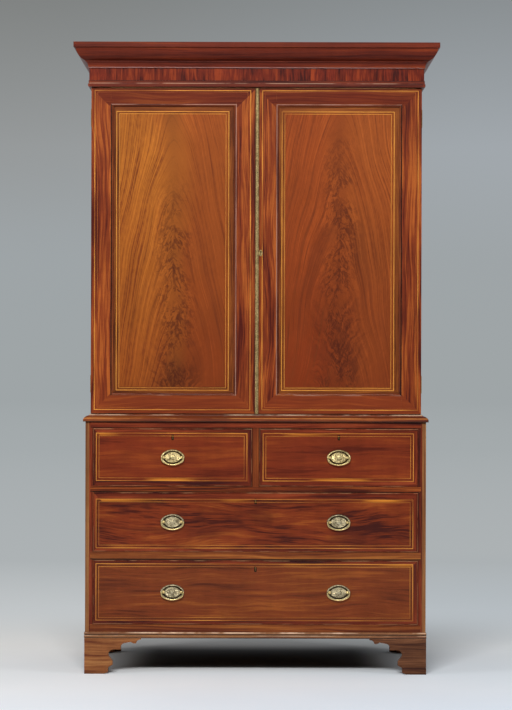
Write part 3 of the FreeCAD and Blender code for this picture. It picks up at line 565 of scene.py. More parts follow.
    def fronds(self, colour: Socket) -> Socket:
        """Lays the dark mass and the fronds that fan out at the foot.

        Args:
            colour: the colour so far.

        Returns:
            The colour with mass and fronds.
        """
        top = self.take("Frond Top")
        settled = self.spread(
            self.total(self.share, self.swing(self.cloud, 0.22)), top, self.minus(top, 0.20))
        mass = self.spread(self.total(self.near, self.swing(self.patches, 0.12)), 0.120, 0.040)
        colour = self.lay(colour, self.dark, settled, mass, 0.24)
        bend = self.figure(13.0, 9.0, 31.0)
        drop = self.product(self.math("POWER", self.near, 0.80), -0.80)
        fan = self.total(self.z, drop, self.swing(bend, 0.16))
        fronds = self.clouds(
            fan, 40.0, self.near, 22.0, self.hand, detail=4.0, roughness=0.65, distortion=0.9)
        fanned = self.product(
            self.spread(self.near, 0.135, 0.030), settled,
            self.spread(self.patches, 0.30, 0.58, 0.25, 1.0))
        colour = self.lay(colour, self.dark, fanned, self.spread(fronds, 0.47, 0.58), 0.60)
        return self.lay(colour, self.bright, fanned, self.spread(fronds, 0.46, 0.33), 0.55)


class AgeAndShading(Effect):
    """Dirt and painted shade in corners, a paler rub that is wear and a painted highlight along softened
    edges, and blotches in the polish.
    """

    edge_radius = 0.0013

    def __init__(self) -> None:
        """Gives the colour with dirt, painted shade, wear and painted highlight, what they add to the
        roughness, and the softened normal.
        """
        super().__init__(
            "age",
            {"Colour": WHITE, "Place": NOWHERE, "Grime And Shade": 0.6, "Reach": 0.012, "Rub And Highlight": 0.5,
             "Worn And Highlight": WHITE},
            {"Colour": WHITE, "Dull": 0.0, "Normal": NOWHERE})
        place = self.take("Place")
        # Occlusion darkens corners and recesses: dirt, and painted shade where shade falls.
        opening = self.add(
            "ShaderNodeAmbientOcclusion", {"Distance": self.take("Reach")}, samples=6).outputs["AO"]
        shelter = self.spread(opening, 0.92, 0.35)
        patches = self.noise(place, 17.0, 3.0)
        dirt_and_shade = self.product(shelter, self.take("Grime And Shade"), self.spread(patches, 0.2, 0.8, 0.7, 1.15))
        # Softened edges get a pale rub: wear, and a painted highlight where edges catch the light.
        softened = self.add("ShaderNodeBevel", {"Radius": self.edge_radius}, samples=4).outputs[0]
        plain = self.add("ShaderNodeNewGeometry").outputs["Normal"]
        likeness = self.add(
            "ShaderNodeVectorMath", {0: softened, 1: plain}, operation="DOT_PRODUCT").outputs["Value"]
        edge = self.spread(likeness, 0.99, 0.82)
        knocks = self.spread(self.noise(place, 42.0, 4.0, 0.65), 0.42, 0.62)
        rub_and_highlight = self.product(edge, knocks, self.take("Rub And Highlight"), self.spread(shelter, 0.5, 0.0))
        blotch = self.spread(self.noise(place, 5.0), 0.25, 0.75, 0.92, 1.07)
        colour = self.blend(rub_and_highlight, self.shaded(self.take("Colour"), blotch), self.take("Worn And Highlight"))
        self.give("Colour", self.blend(dirt_and_shade, colour, SOOT_AND_SHADOW))
        self.give("Dull", self.total(
            self.product(dirt_and_shade, 0.4), self.swing(patches, 0.25), self.product(rub_and_highlight, 0.1)))
        self.give("Normal", softened)


class Patina(Effect):
    """Colour of brass that has been handled: pale where it is rubbed, brown in its hollows."""

    def __init__(self) -> None:
        """Gives the colour and the roughness."""
        super().__init__(
            "patina",
            {"Place": NOWHERE, "Pale": WHITE, "Brown": WHITE, "Reach": 0.003, "Amount": 0.8,
             "Spots Low": 0.48, "Spots High": 0.72},
            {"Colour": WHITE, "Rough": 0.0})
        place = self.take("Place")
        opening = self.add(
            "ShaderNodeAmbientOcclusion", {"Distance": self.take("Reach")}, samples=8).outputs["AO"]
        hollow = self.spread(opening, 0.95, 0.55)
        spots = self.noise(place, 330.0, 3.0, 0.6)
        clouds = self.noise(place, 60.0)
        spotted = self.spread(
            self.total(spots, self.swing(clouds, 0.4)), self.take("Spots Low"), self.take("Spots High"))
        whole = self.math("MINIMUM", self.total(hollow, self.product(spotted, 0.75)), 1.0)
        film = self.product(whole, self.take("Amount"))
        self.give("Colour", self.blend(film, self.take("Pale"), self.take("Brown")))
        self.give("Rough", self.total(
            self.product(film, 0.35), self.spread(clouds, 0.3, 0.7, 0.24, 0.40)))


class Effects:
    """The shared groups, each built once."""

    def __init__(self) -> None:
        """Builds every group."""
        self.mitred_run = MitredRun().tree
        self.wrapped_run = WrappedRun().tree
        self.straight_grain = StraightGrain().tree
        self.flame = FlameFigure().tree
        self.age = AgeAndShading().tree
        self.patina = Patina().tree


effects = Effects()


# Finishes

class Run(Enum):
    """Direction in which the grain of a piece runs."""

    ALONG_X = "x"
    ALONG_Y = "y"
    ALONG_Z = "z"
    MITRED = "mitred"
    WRAPPED = "wrapped"


class Polish(Enum):
    """How a wooden surface is finished: roughness, weight of the coat and its roughness."""

    FRENCH = (0.40, 0.15, 0.12)
    BURNISHED = (0.34, 0.60, 0.10)
    WAXED = (0.50, 0.06, 0.30)
    RAW = (0.80, 0.0, 0.30)


@dataclass(frozen=True)
class Wood:
    """Colours and streaks of one kind of wood."""

    light: Tone
    middle: Tone
    dark: Tone
    streak_width: float = 0.012
    streak_length: float = 0.5
    contrast: float = 1.0
    wander: float = 0.010
    ripple: float = 0.06

    def cut(self, graph: Graph, run: Feed, seed: float) -> tuple[Socket, Socket]:
        """Returns the colour and the relief of this wood, cut along a run of grain."""
        grain = graph.use(effects.straight_grain, {
            "Run": run, "Seed": seed, "Light": self.light, "Middle": self.middle, "Dark": self.dark,
            "Streak Width": self.streak_width, "Streak Length": self.streak_length,
            "Contrast": self.contrast, "Wander": self.wander, "Ripple": self.ripple})
        return grain["Colour"], grain["Height"]


MAHOGANY = Wood(tone(146, 76, 34), tone(112, 50, 24), tone(76, 26, 14))
CORNICE_MAHOGANY = Wood(tone(132, 56, 28), tone(103, 38, 22), tone(70, 22, 14), 0.009, 0.7, 0.9)
WINE_MAHOGANY = Wood(tone(142, 62, 34), tone(106, 40, 22), tone(62, 22, 20), 0.009, 0.40, 1.2)
RAIL_MAHOGANY = Wood(tone(164, 98, 44), tone(130, 68, 32), tone(92, 40, 20), 0.009, 0.5, 1.3)
ORANGE_MAHOGANY = Wood(tone(168, 92, 40), tone(126, 58, 26), tone(70, 26, 16), 0.007, 0.45, 1.5)
BROWN_MAHOGANY = Wood(tone(128, 84, 58), tone(94, 58, 38), tone(60, 32, 24), 0.007, 0.30, 1.0)
EDGE_MAHOGANY = Wood(tone(168, 118, 70), tone(138, 89, 52), tone(98, 56, 35), 0.010, 0.6, 1.0)
SIDE_MAHOGANY = Wood(tone(150, 84, 40), tone(120, 60, 30), tone(84, 36, 20), 0.022, 0.9, 0.9, 0.03)
FRAME_MAHOGANY = Wood(tone(172, 90, 38), tone(126, 53, 25), tone(78, 25, 17), 0.0085, 0.34, 1.25, 0.016)
FRIEZE_MAHOGANY = Wood(tone(146, 58, 26), tone(110, 36, 20), tone(62, 18, 14), 0.009, 0.12, 1.15)
SHORT_MAHOGANY = Wood(tone(144, 66, 28), tone(122, 48, 24), tone(90, 32, 18), 0.012, 0.32, 0.85, 0.014)
WAVY_MAHOGANY = Wood(tone(150, 76, 32), tone(122, 50, 24), tone(66, 24, 18), 0.015, 0.24, 1.05, 0.03)
STREAKY_MAHOGANY = Wood(tone(148, 80, 34), tone(120, 56, 26), tone(82, 36, 20), 0.010, 0.30, 0.85, 0.018)
BANDING = Wood(tone(146, 82, 34), tone(122, 62, 26), tone(84, 38, 18), 0.007, 0.25, 1.1)
FOOT_MAHOGANY = Wood(tone(178, 122, 74), tone(148, 92, 54), tone(108, 56, 34), 0.007, 0.30, 1.1)
CARCASS_OAK = Wood(tone(184, 146, 98), tone(160, 120, 76), tone(122, 86, 52), 0.008, 0.5, 1.0, 0.008, 0.04)
CARCASS_PINE = Wood(tone(186, 144, 92), tone(160, 116, 70), tone(120, 80, 46), 0.016, 0.9, 1.1, 0.014, 0.02)


@dataclass(frozen=True)
class Finish:
    """A finish that makes one material when it is first asked for."""

    name: str

    def paint(self, graph: Graph, shader: bpy.types.Node) -> None:
        """Feeds the shader; each kind of finish says how."""
        raise NotImplementedError

    def material(self) -> bpy.types.Material:
        """Finds the finish's material, or makes it at the first call.

        Returns:
            The material.
        """
        made = bpy.data.materials.get(self.name)
        if made is None:
            made = bpy.data.materials.new(self.name)
            made.use_nodes = True
            made.node_tree.nodes.clear()
            graph = Graph(made.node_tree)
            shader = graph.add("ShaderNodeBsdfPrincipled")
            graph.add("ShaderNodeOutputMaterial", {"Surface": shader.outputs[0]})
            self.paint(graph, shader)
        return made


@dataclass(frozen=True)
class Woodwork(Finish):
    """A wooden surface: its grain, dirt and wear with painted shade and painted highlights, and its polish.
    """

    _: KW_ONLY
    seed: float = 0.0
    polish: Polish = Polish.FRENCH
    # Grime is dirt and painted shade in corners; the rub and its tone are wear and painted highlight on
    # edges.
    grime_and_shade: float = 0.65
    rub_and_highlight: float = 0.55
    worn_and_highlight: Tone = tone(176, 104, 56)
    reach: float = 0.012
    bump: float = 0.00012

    def grain(self, graph: Graph, place: Socket) -> tuple[Socket, Socket]:
        """Returns colour and relief at a place; each kind of surface says how."""
        raise NotImplementedError

    def paint(self, graph: Graph, shader: bpy.types.Node) -> None:
        """Feeds the shader with grain, dirt, wear, painted shade, painted highlights and polish.

        Args:
            graph: the material's tree.
            shader: its principled shader.
        """
        place = graph.place()
        colour, height = self.grain(graph, place)
        aged_and_shaded = graph.use(effects.age, {
            "Colour": colour, "Place": place, "Grime And Shade": self.grime_and_shade, "Reach": self.reach,
            "Rub And Highlight": self.rub_and_highlight, "Worn And Highlight": self.worn_and_highlight})
        roughness, weight, coat_roughness = self.polish.value
        graph.put(shader.inputs["Base Color"], aged_and_shaded["Colour"])
        graph.put(shader.inputs["Roughness"], graph.total(aged_and_shaded["Dull"], roughness))
        shader.inputs["Coat Weight"].default_value = weight
        shader.inputs["Coat Roughness"].default_value = coat_roughness
        shader.inputs["Specular IOR Level"].default_value = 0.06
        swell = graph.noise(place, 24.0)
        relief = graph.total(height, graph.product(swell, 1.6))
        graph.put(shader.inputs["Normal"], graph.add("ShaderNodeBump", {
            "Strength": 0.5, "Distance": self.bump, "Height": relief,
            "Normal": aged_and_shaded["Normal"]}).outputs[0])


@dataclass(frozen=True)
class PaintedLightLine:
    """A thin level line of painted light: a painted highlight where pale, a painted shadow where dark;
    whole or only in stretches.
    """

    z: float
    half: float
    colour: Tone
    strength: float = 0.8
    broken: bool = False

    def lay_on(self, graph: Graph, place: Socket, colour: Socket) -> Socket:
        """Draws the line.

        Args:
            graph: the material's tree.
            place: the place on the object.
            colour: the colour so far.

        Returns:
            The colour with the line on it.
        """
        x, y, z = graph.split(place)
        shown = graph.product(
            graph.spread(graph.off(z, self.z), self.half * 1.25, self.half * 0.5), self.strength)
        if self.broken:
            stretches = graph.clouds(x, 6.0, y, 6.0, self.z * 40.0, detail=4.0, roughness=0.6)
            shown = graph.product(shown, graph.spread(stretches, 0.45, 0.60))
        return graph.blend(shown, colour, self.colour)


def mitred(graph: Graph, place: Socket, outline: Rectangle) -> Sequence[Socket]:
    """Adds the mitred run round a rectangle.

    Args:
        graph: the material's tree.
        place: the place on the object.
        outline: the rectangle.

    Returns:
        The outputs of the mitred run.
    """
    (centre_x, centre_z), (half_width, half_height) = outline.centre, outline.half
    return graph.use(effects.mitred_run, {
        "Place": place, "Centre X": centre_x, "Centre Z": centre_z,
        "Half Width": half_width, "Half Height": half_height})


@dataclass(frozen=True)
class Timber(Woodwork):
    """Wood with its grain along one direction, round a frame, or along a wrapped moulding."""

    wood: Wood = MAHOGANY
    run: Run = Run.ALONG_X
    outline: Rectangle = Rectangle()
    half_width: float = 0.58
    front: float = -0.25
    # Level lines of painted highlight and painted shadow along the wood.
    lines: tuple[PaintedLightLine, ...] = ()

    def run_of(self, graph: Graph, place: Socket) -> Socket:
        """Lays the grain.

        Args:
            graph: the material's tree.
            place: the place on the object.

        Returns:
            The grain's own coordinates: along, across and depth.
        """
        if self.run is Run.MITRED:
            return mitred(graph, place, self.outline)["Run"]
        if self.run is Run.WRAPPED:
            return graph.use(effects.wrapped_run, {
                "Place": place, "Half Width": self.half_width, "Front": self.front})["Run"]
        x, y, z = graph.split(place)
        order = {Run.ALONG_X: (x, z, y), Run.ALONG_Y: (y, z, x), Run.ALONG_Z: (z, x, y)}
        return graph.join(*order[self.run])

    def lined(self, graph: Graph, place: Socket, colour: Socket) -> Socket:
        """Returns a colour with all its painted highlight and shadow lines on it."""
        for line in self.lines:
            colour = line.lay_on(graph, place, colour)
        return colour

    def grain(self, graph: Graph, place: Socket) -> tuple[Socket, Socket]:
        """Returns colour and relief of one wood with its lines."""
        colour, height = self.wood.cut(graph, self.run_of(graph, place), self.seed)
        return self.lined(graph, place, colour), height


@dataclass(frozen=True)
class DoorFrameVeneer(Timber):
    """Veneer round a door's frame, of plainer and darker leaves on its rails."""

    high_leaf: Tone = tone(92, 30, 15)
    low_leaf: Tone = tone(130, 56, 27)
    leaf_share: float = 0.68

    def grain(self, graph: Graph, place: Socket) -> tuple[Socket, Socket]:
        """Lays mitred grain, with a leaf of its own on each rail.

        Args:
            graph: the material's tree.
            place: the place on the object.

        Returns:
            Colour and relief.
        """
        _, _, z = graph.split(place)
        run = mitred(graph, place, self.outline)
        colour, height = self.wood.cut(graph, run["Run"], self.seed)
        leaf = graph.blend(graph.over(z, self.outline.centre[1]), self.low_leaf, self.high_leaf)
        return graph.lay(colour, leaf, graph.rest(run["Upright"]), self.leaf_share), height


@dataclass(frozen=True)
class DoorMoulding(Timber):
    """Moulding round a panel: painted shadow along the hinge side, painted highlights along the meeting
    side, top and foot.
    """

    hinge_way: float = -1.0
    rim: float = 0.0028
    rim_blur: float = 0.0008
    shadow_width: float = 0.0015

    def grain(self, graph: Graph, place: Socket) -> tuple[Socket, Socket]:
        """Lays mitred grain, with the painted shadow and the painted highlights of each side.

        Args:
            graph: the material's tree.
            place: the place on the object.

        Returns:
            Colour and relief.
        """
        x, _, z = graph.split(place)
        run = mitred(graph, place, self.outline)
        colour, height = self.wood.cut(graph, run["Run"], self.seed)
        upright, inset = run["Upright"], run["Inset"]
        centre_x, centre_z = self.outline.centre
        way = graph.product(graph.minus(x, centre_x), self.hinge_way)
        hinge_side = graph.product(upright, graph.over(way, 0.0))
        meeting_side = graph.product(upright, graph.under(way, 0.0))
        top = graph.product(graph.rest(upright), graph.over(z, centre_z))
        foot = graph.minus(graph.rest(upright), top)
        broken = graph.clouds(x, 9.0, z, 5.0, self.seed, detail=3.0)
        worn_and_highlight = graph.total(
            graph.product(meeting_side, graph.spread(broken, 0.30, 0.55, 0.35, 0.85)),
            graph.product(top, graph.spread(broken, 0.36, 0.56, 0.15, 0.80)),
            graph.product(foot, graph.spread(broken, 0.46, 0.60, 0.0, 0.60)))
        # Pale rim in stretches on the meeting side, top and foot: painted highlight. Dark rim on the hinge
        # side: painted shadow.
        outer = graph.spread(inset, self.rim + self.rim_blur, self.rim - self.rim_blur)
        hinge_shadow = graph.spread(inset, self.rim + self.shadow_width, self.rim)
        colour = graph.lay(colour, SOOT_AND_SHADOW, hinge_side, hinge_shadow, 0.93)
        return graph.lay(colour, self.worn_and_highlight, outer, worn_and_highlight, 0.72), height


@dataclass(frozen=True)
class RailVeneer(Timber):
    """Rails between the drawers, each of its own wood, with painted shadow over the gap above a drawer."""

    leaves: tuple[tuple[float, Wood], ...] = ()

    def grain(self, graph: Graph, place: Socket) -> tuple[Socket, Socket]:
        """Lays one wood above the other, then the painted shadow lines.

        Args:
            graph: the material's tree.
            place: the place on the object.

        Returns:
            Colour and relief.
        """
        _, _, z = graph.split(place)
        run = self.run_of(graph, place)
        colour, height = self.wood.cut(graph, run, self.seed)
        for start, wood in self.leaves:
            higher, _ = wood.cut(graph, run, self.seed + start)
            colour = graph.blend(graph.over(z, start), colour, higher)
        return self.lined(graph, place, colour), height


@dataclass(frozen=True)
class CaseSide(Timber):
    """A solid side: full colour outside and in front, duller inside, its front edge in two strips."""

    inner: float = 0.55
    front_edge: float = -0.25
    strip: float = 0.567
    margin: float = 0.001
    raw_share: float = 0.45
    raw: Tone = tone(150, 108, 70)

    def grain(self, graph: Graph, place: Socket) -> tuple[Socket, Socket]:
        """Lays full colour outside the case, duller wood in it.

        Args:
            graph: the material's tree.
            place: the place on the object.

        Returns:
            Colour and relief.
        """
        x, y, _ = graph.split(place)
        run, from_middle = self.run_of(graph, place), graph.size(x)
        edge, height = self.wood.cut(graph, run, self.seed)
        flank, _ = SIDE_MAHOGANY.cut(graph, run, self.seed + 1.0)
        lip, _ = WINE_MAHOGANY.cut(graph, run, self.seed + 3.0)
        colour = graph.blend(graph.over(y, self.front_edge + 2 * self.margin), edge, flank)
        colour = graph.lay(
            colour, lip, graph.under(from_middle, self.strip),
            graph.under(y, self.front_edge + self.margin))
        inside = graph.product(
            graph.under(from_middle, self.inner + self.margin),
            graph.over(y, self.front_edge + self.margin))
        return graph.blend(inside, colour, graph.blend(self.raw_share, colour, self.raw)), height


@dataclass(frozen=True)
class BackBoards(Timber):
    """Upright boards side by side, each with a tone of its own, dirty where they meet."""

    half: float = 0.56
    count: int = 5
    joint: float = 0.0022

    def grain(self, graph: Graph, place: Socket) -> tuple[Socket, Socket]:
        """Lays grain that jumps from board to board, then the joints.

        Args:
            graph: the material's tree.
            place: the place on the object.

        Returns:
            Colour and relief.
        """
        x, y, z = graph.split(place)
        board = 2 * self.half / self.count
        number = graph.ratio(graph.total(x, self.half), board)
        jump = graph.chance(graph.math("FLOOR", number))
        run = graph.join(graph.total(z, graph.product(jump, 7.0)), graph.total(x, jump), y)
        colour, height = self.wood.cut(graph, run, self.seed)
        colour = graph.shaded(colour, graph.spread(jump, 0.0, 1.0, 0.84, 1.12))
        from_board = graph.off(graph.math("FRACT", number), 0.5)
        gap = graph.spread(from_board, 0.5 - self.joint / board, 0.5)
        return graph.lay(colour, SOOT_AND_SHADOW, gap, 0.85), height


@dataclass(frozen=True)
class FriezeVeneer(Timber):
    """Cross-grained veneer laid in short upright leaves, on pine that shows inside."""

    leaf_width: float = 0.083
    back: float = -0.235
    inner: float = 0.560
    side_share: float = 0.91

    def grain(self, graph: Graph, place: Socket) -> tuple[Socket, Socket]:
        """Lays upright grain, changing in tone from leaf to leaf.

        Args:
            graph: the material's tree.
            place: the place on the object.

        Returns:
            Colour and relief.
        """
        x, y, z = graph.split(place)
        along_face = graph.total(x, graph.product(y, self.side_share))
        number = graph.ratio(graph.total(along_face, 10.0), self.leaf_width)
        jump = graph.chance(graph.math("FLOOR", number))
        run = graph.join(graph.total(z, graph.product(jump, 5.0)), along_face, y)
        colour, height = self.wood.cut(graph, run, self.seed)
        colour = graph.shaded(colour, graph.spread(jump, 0.0, 1.0, 0.86, 1.14))
        inside = graph.product(graph.under(graph.size(x), self.inner), graph.over(y, self.back))
        pine, _ = CARCASS_PINE.cut(graph, graph.join(graph.total(x, y), z, y), self.seed)
        return graph.blend(inside, colour, pine), height


@dataclass(frozen=True)
class FlameVeneer(Woodwork):
    """Veneer cut from a fork, inside a mitred border of plainer veneer."""

    outline: Rectangle = Rectangle()
    border: float = 0.028
    face: float = -0.2315
    veneer: float = 0.002
    left: Tone = tone(170, 98, 34)
    right: Tone = tone(148, 74, 28)
    streak: Tone = tone(118, 54, 22)
    dark: Tone = tone(76, 30, 16)
    haze: Tone = tone(122, 70, 26)
    left_streaks: float = 1.0
    right_streaks: float = 0.65
    feather_top: float = 0.80
    frond_top: float = 0.24
    _: KW_ONLY
    grime_and_shade: float = 0.5
    rub_and_highlight: float = 0.2
    worn_and_highlight: Tone = BANDING.light
    reach: float = 0.009

    def grain(self, graph: Graph, place: Socket) -> tuple[Socket, Socket]:
        """Lays the figure in the field, and plain grain in the border and on the back.

        Args:
            graph: the material's tree.
            place: the place on the object.

        Returns:
            Colour and relief.
        """
        x, y, z = graph.split(place)
        run = mitred(graph, place, self.outline)
        figure = graph.use(effects.flame, {
            "Place": place, "Centre X": self.outline.centre[0], "Low": self.outline.low,
            "Height": 2 * self.outline.half[1], "Seed": self.seed,
            "Left Streaks": self.left_streaks, "Right Streaks": self.right_streaks,
            "Feather Top": self.feather_top, "Frond Top": self.frond_top,
            "Left": self.left, "Right": self.right, "Streak": self.streak, "Dark": self.dark,
            "Haze": self.haze})
        edge, edge_height = BANDING.cut(graph, run["Run"], self.seed + 2)
        plain, _ = SIDE_MAHOGANY.cut(graph, graph.join(z, x, y), self.seed + 4)
        in_field = graph.product(
            graph.over(run["Inset"], self.border), graph.under(y, self.face + self.veneer))
        behind = graph.over(y, self.face + self.veneer)
        colour = graph.blend(in_field, graph.blend(behind, edge, plain), figure["Colour"])
        return colour, graph.pick(in_field, edge_height, figure["Height"])


@dataclass(frozen=True)
class DrawerVeneer(Woodwork):
    """Face veneer of a drawer: a field, a band at the inlaid lines with painted sheen in stretches, and a
    border, on oak.
    """

    outline: Rectangle = Rectangle()
    line_outline: Rectangle = Rectangle()
    wood: Wood = SHORT_MAHOGANY
    waves: float = 0.0
    face: float = -0.2545
    band_inset: float = 0.002
    band_width: float = 0.008
    foot_sheen: float = 0.0
    keyhole_z: float = 0.0
    keyhole_half: tuple[float, float] = (0.0040, 0.0090)
    keyhole_below: float = 0.0045
    bead: float = 0.0032
    bead_depth: float = 0.0057
    veneer: float = 0.0016
    # Tone of the painted sheen on the band.
    glow: Tone = tone(240, 152, 52)
    # Tone of the painted highlight on the bead.
    bead_highlight: Tone = tone(214, 164, 118)
    _: KW_ONLY
    grime_and_shade: float = 0.9
    rub_and_highlight: float = 0.45
    worn_and_highlight: Tone = tone(186, 124, 70)

    def field(self, graph: Graph, x: Socket, y: Socket, z: Socket) -> tuple[Socket, Socket]:
        """Lays the field with the dark waves across it.

        Args:
            graph: the material's tree.
            x: place across the drawer.
            y: place into the drawer.
            z: place up the drawer.

        Returns:
            Colour and relief.
        """
        colour, height = self.wood.cut(graph, graph.join(x, z, y), self.seed)
        sway = graph.clouds(x, 3.2, z, 7.0, self.seed)
        swell = graph.clouds(x, 2.4, graph.total(z, graph.swing(sway, 0.22)), 17.0, self.seed + 3.0)
        wave = graph.spread(swell, 0.52, 0.68)
        return graph.lay(colour, self.wood.dark, wave, self.waves), height

    def band(self, graph: Graph, x: Socket, z: Socket, colour: Socket, in_lines: Socket,
             upright: Socket) -> Socket:
        """Lays the band between the two inlaid lines.

        Args:
            graph: the material's tree.
            x: place across the drawer.
            z: place up the drawer.
            colour: the colour so far.
            in_lines: how far in from the outer line a place is.
            upright: 1 on the upright stretches of the band.

        Returns:
            The colour with a dark band that carries painted sheen in stretches.
        """
        half = self.band_width / 2
        centre_x, centre_z = self.outline.centre
        from_band = graph.off(in_lines, self.band_inset + half)
        on_band = graph.spread(from_band, half + 0.001, half - 0.001)
        # Painted sheen: bright stretches on the band, stronger low in the middle of the drawer.
        sheen_stretches = graph.clouds(x, 3.6, z, 9.0, self.seed + 8.0, detail=1.0)
        middle = graph.spread(graph.off(x, centre_x), self.outline.half[0] * 0.62, 0.02)
        sheen_stretches = graph.total(sheen_stretches, graph.product(middle, graph.under(z, centre_z), self.foot_sheen))
        colour = graph.lay(colour, self.wood.dark, on_band, graph.pick(upright, 0.30, 0.50))
        return graph.lay(
            colour, self.glow, on_band, graph.spread(sheen_stretches, 0.55, 0.78), graph.pick(upright, 0.90, 0.12),
            graph.spread(in_lines, self.band_inset + self.band_width, self.band_inset, 0.30, 1.0))

    def grain(self, graph: Graph, place: Socket) -> tuple[Socket, Socket]:
        """Lays field, border, band and bead in front, with painted shade in the keyhole and oak behind.

        Args:
            graph: the material's tree.
            place: the place on the object.

        Returns:
            Colour and relief.
        """
        x, y, z = graph.split(place)
        centre_x, centre_z = self.outline.centre
        run = mitred(graph, place, self.outline)
        inset, upright = run["Inset"], run["Upright"]
        in_lines = mitred(graph, place, self.line_outline)["Inset"]
        colour, height = self.field(graph, x, y, z)
        border, _ = WINE_MAHOGANY.cut(graph, run["Run"], self.seed + 5.0)
        colour = graph.blend(graph.under(in_lines, self.band_inset), colour, border)
        colour = self.band(graph, x, z, colour, in_lines, upright)
        on_bead = graph.under(inset, self.bead)
        # Painted highlight along the bead, in stretches, strongest on its top edge.
        broken = graph.spread(graph.clouds(x, 14.0, z, 14.0, self.seed, detail=3.0), 0.44, 0.60)
        top_edge = graph.product(graph.rest(upright), graph.over(z, centre_z))
        colour = graph.lay(
            colour, self.bead_highlight, on_bead, broken, graph.pick(top_edge, 0.25, 0.70),
            graph.spread(inset, 0.0008, 0.0016))
        # Painted shade: near-black over the keyhole and its walls.
        half_width, half_height = self.keyhole_half
        keyhole_shade = graph.product(
            graph.under(graph.off(x, centre_x), half_width),
            graph.under(graph.off(z, self.keyhole_z - self.keyhole_below), half_height))
        colour = graph.blend(keyhole_shade, colour, SOOT_AND_SHADOW)
        core = graph.over(y, graph.pick(on_bead, self.face + self.veneer, self.face + self.bead_depth))
        oak, _ = CARCASS_OAK.cut(graph, graph.join(x, z, y), self.seed + 1.0)
        return graph.lay(colour, oak, core, graph.rest(keyhole_shade)), height


@dataclass(frozen=True)
class Inlay(Woodwork):
    """Boxwood line let into veneer, brighter in some stretches than in others."""

    shown: float = 0.55
    bright: Tone = tone(232, 158, 68)
    faded: Tone = tone(156, 90, 38)
    _: KW_ONLY
    grime_and_shade: float = 0.5
    rub_and_highlight: float = 0.0
    worn_and_highlight: Tone = WHITE
    reach: float = 0.006
    bump: float = 0.00004

    def grain(self, graph: Graph, place: Socket) -> tuple[Socket, Socket]:
        """Lays pale wood that is brighter in some stretches than in others, as painted sheen.

        Args:
            graph: the material's tree.
            place: the place on the object.

        Returns:
            Colour and relief.
        """
        stretch = graph.noise(graph.join(*[
            graph.total(graph.product(part, 4.2), self.seed) for part in graph.split(place)]))
        fibre = graph.noise(place, 420.0)
        # Painted sheen: the line is bright in some stretches and faded in others.
        clear = graph.spread(stretch, self.shown - 0.17, self.shown + 0.12)
        colour = graph.blend(clear, self.faded, self.bright)
        return graph.blend(graph.spread(fibre, 0.35, 0.75, 0.0, 0.25), colour, self.faded), fibre


@dataclass(frozen=True)
class Brass(Finish):
    """Cast or stamped brass, handled for two centuries."""

    pale: Tone = tone(214, 190, 132)
    brown: Tone = tone(58, 46, 24)
    reach: float = 0.003
    amount: float = 0.85
    dents: float = 0.0002
    spots: tuple[float, float] = (0.48, 0.72)

    def paint(self, graph: Graph, shader: bpy.types.Node) -> None:
        """Feeds the shader with patina over metal and small dents.

        Args:
            graph: the material's tree.
            shader: its principled shader.
        """
        place = graph.place()
        film = graph.use(effects.patina, {
            "Place": place, "Pale": self.pale, "Brown": self.brown, "Reach": self.reach,
            "Amount": self.amount, "Spots Low": self.spots[0], "Spots High": self.spots[1]})
        graph.put(shader.inputs["Base Color"], film["Colour"])
        graph.put(shader.inputs["Roughness"], film["Rough"])
        shader.inputs["Metallic"].default_value = 1.0
        dents = graph.noise(place, 330.0, 3.0, 0.6)
        graph.put(shader.inputs["Normal"], graph.add(
            "ShaderNodeBump", {"Strength": 0.6, "Distance": self.dents, "Height": dents}).outputs[0])


PLATE_BRASS = Brass("plate_brass", tone(226, 204, 148), tone(70, 54, 28), 0.004, 0.9, 0.0005, (0.44, 0.60))
GROUND_BRASS = Brass("ground_brass", tone(92, 74, 42), tone(40, 28, 16), 0.004, 0.95, 0.0004, (0.42, 0.60))
DULL_PLATE_BRASS = Brass(
    "dull_plate_brass", tone(204, 190, 154), tone(64, 54, 36), 0.004, 0.9, 0.0005, (0.42, 0.58))
DULL_GROUND_BRASS = Brass(
    "dull_ground_brass", tone(80, 66, 44), tone(36, 28, 20), 0.004, 0.95, 0.0004, (0.42, 0.60))
BAIL_BRASS = Brass("bail_brass", tone(216, 192, 130), amount=0.7)
STRIP_BRASS = Brass(
    "strip_brass", tone(178, 156, 108), tone(92, 74, 46), 0.003, 0.9, 0.0004, (0.30, 0.62))
ESCUTCHEON_BRASS = Brass("escutcheon_brass", tone(196, 168, 112), tone(60, 44, 26), amount=0.7)
# Near-black lining: painted shade inside the keyhole.
SHADED_LINING_BRASS = Brass("shaded_lining_brass", tone(52, 36, 24), tone(20, 13, 9))
HINGE_BRASS = Brass("hinge_brass", tone(176, 146, 90), amount=0.85)
LOCK_BRASS = Brass("lock_brass", tone(170, 140, 88), amount=0.9)


# Meshes

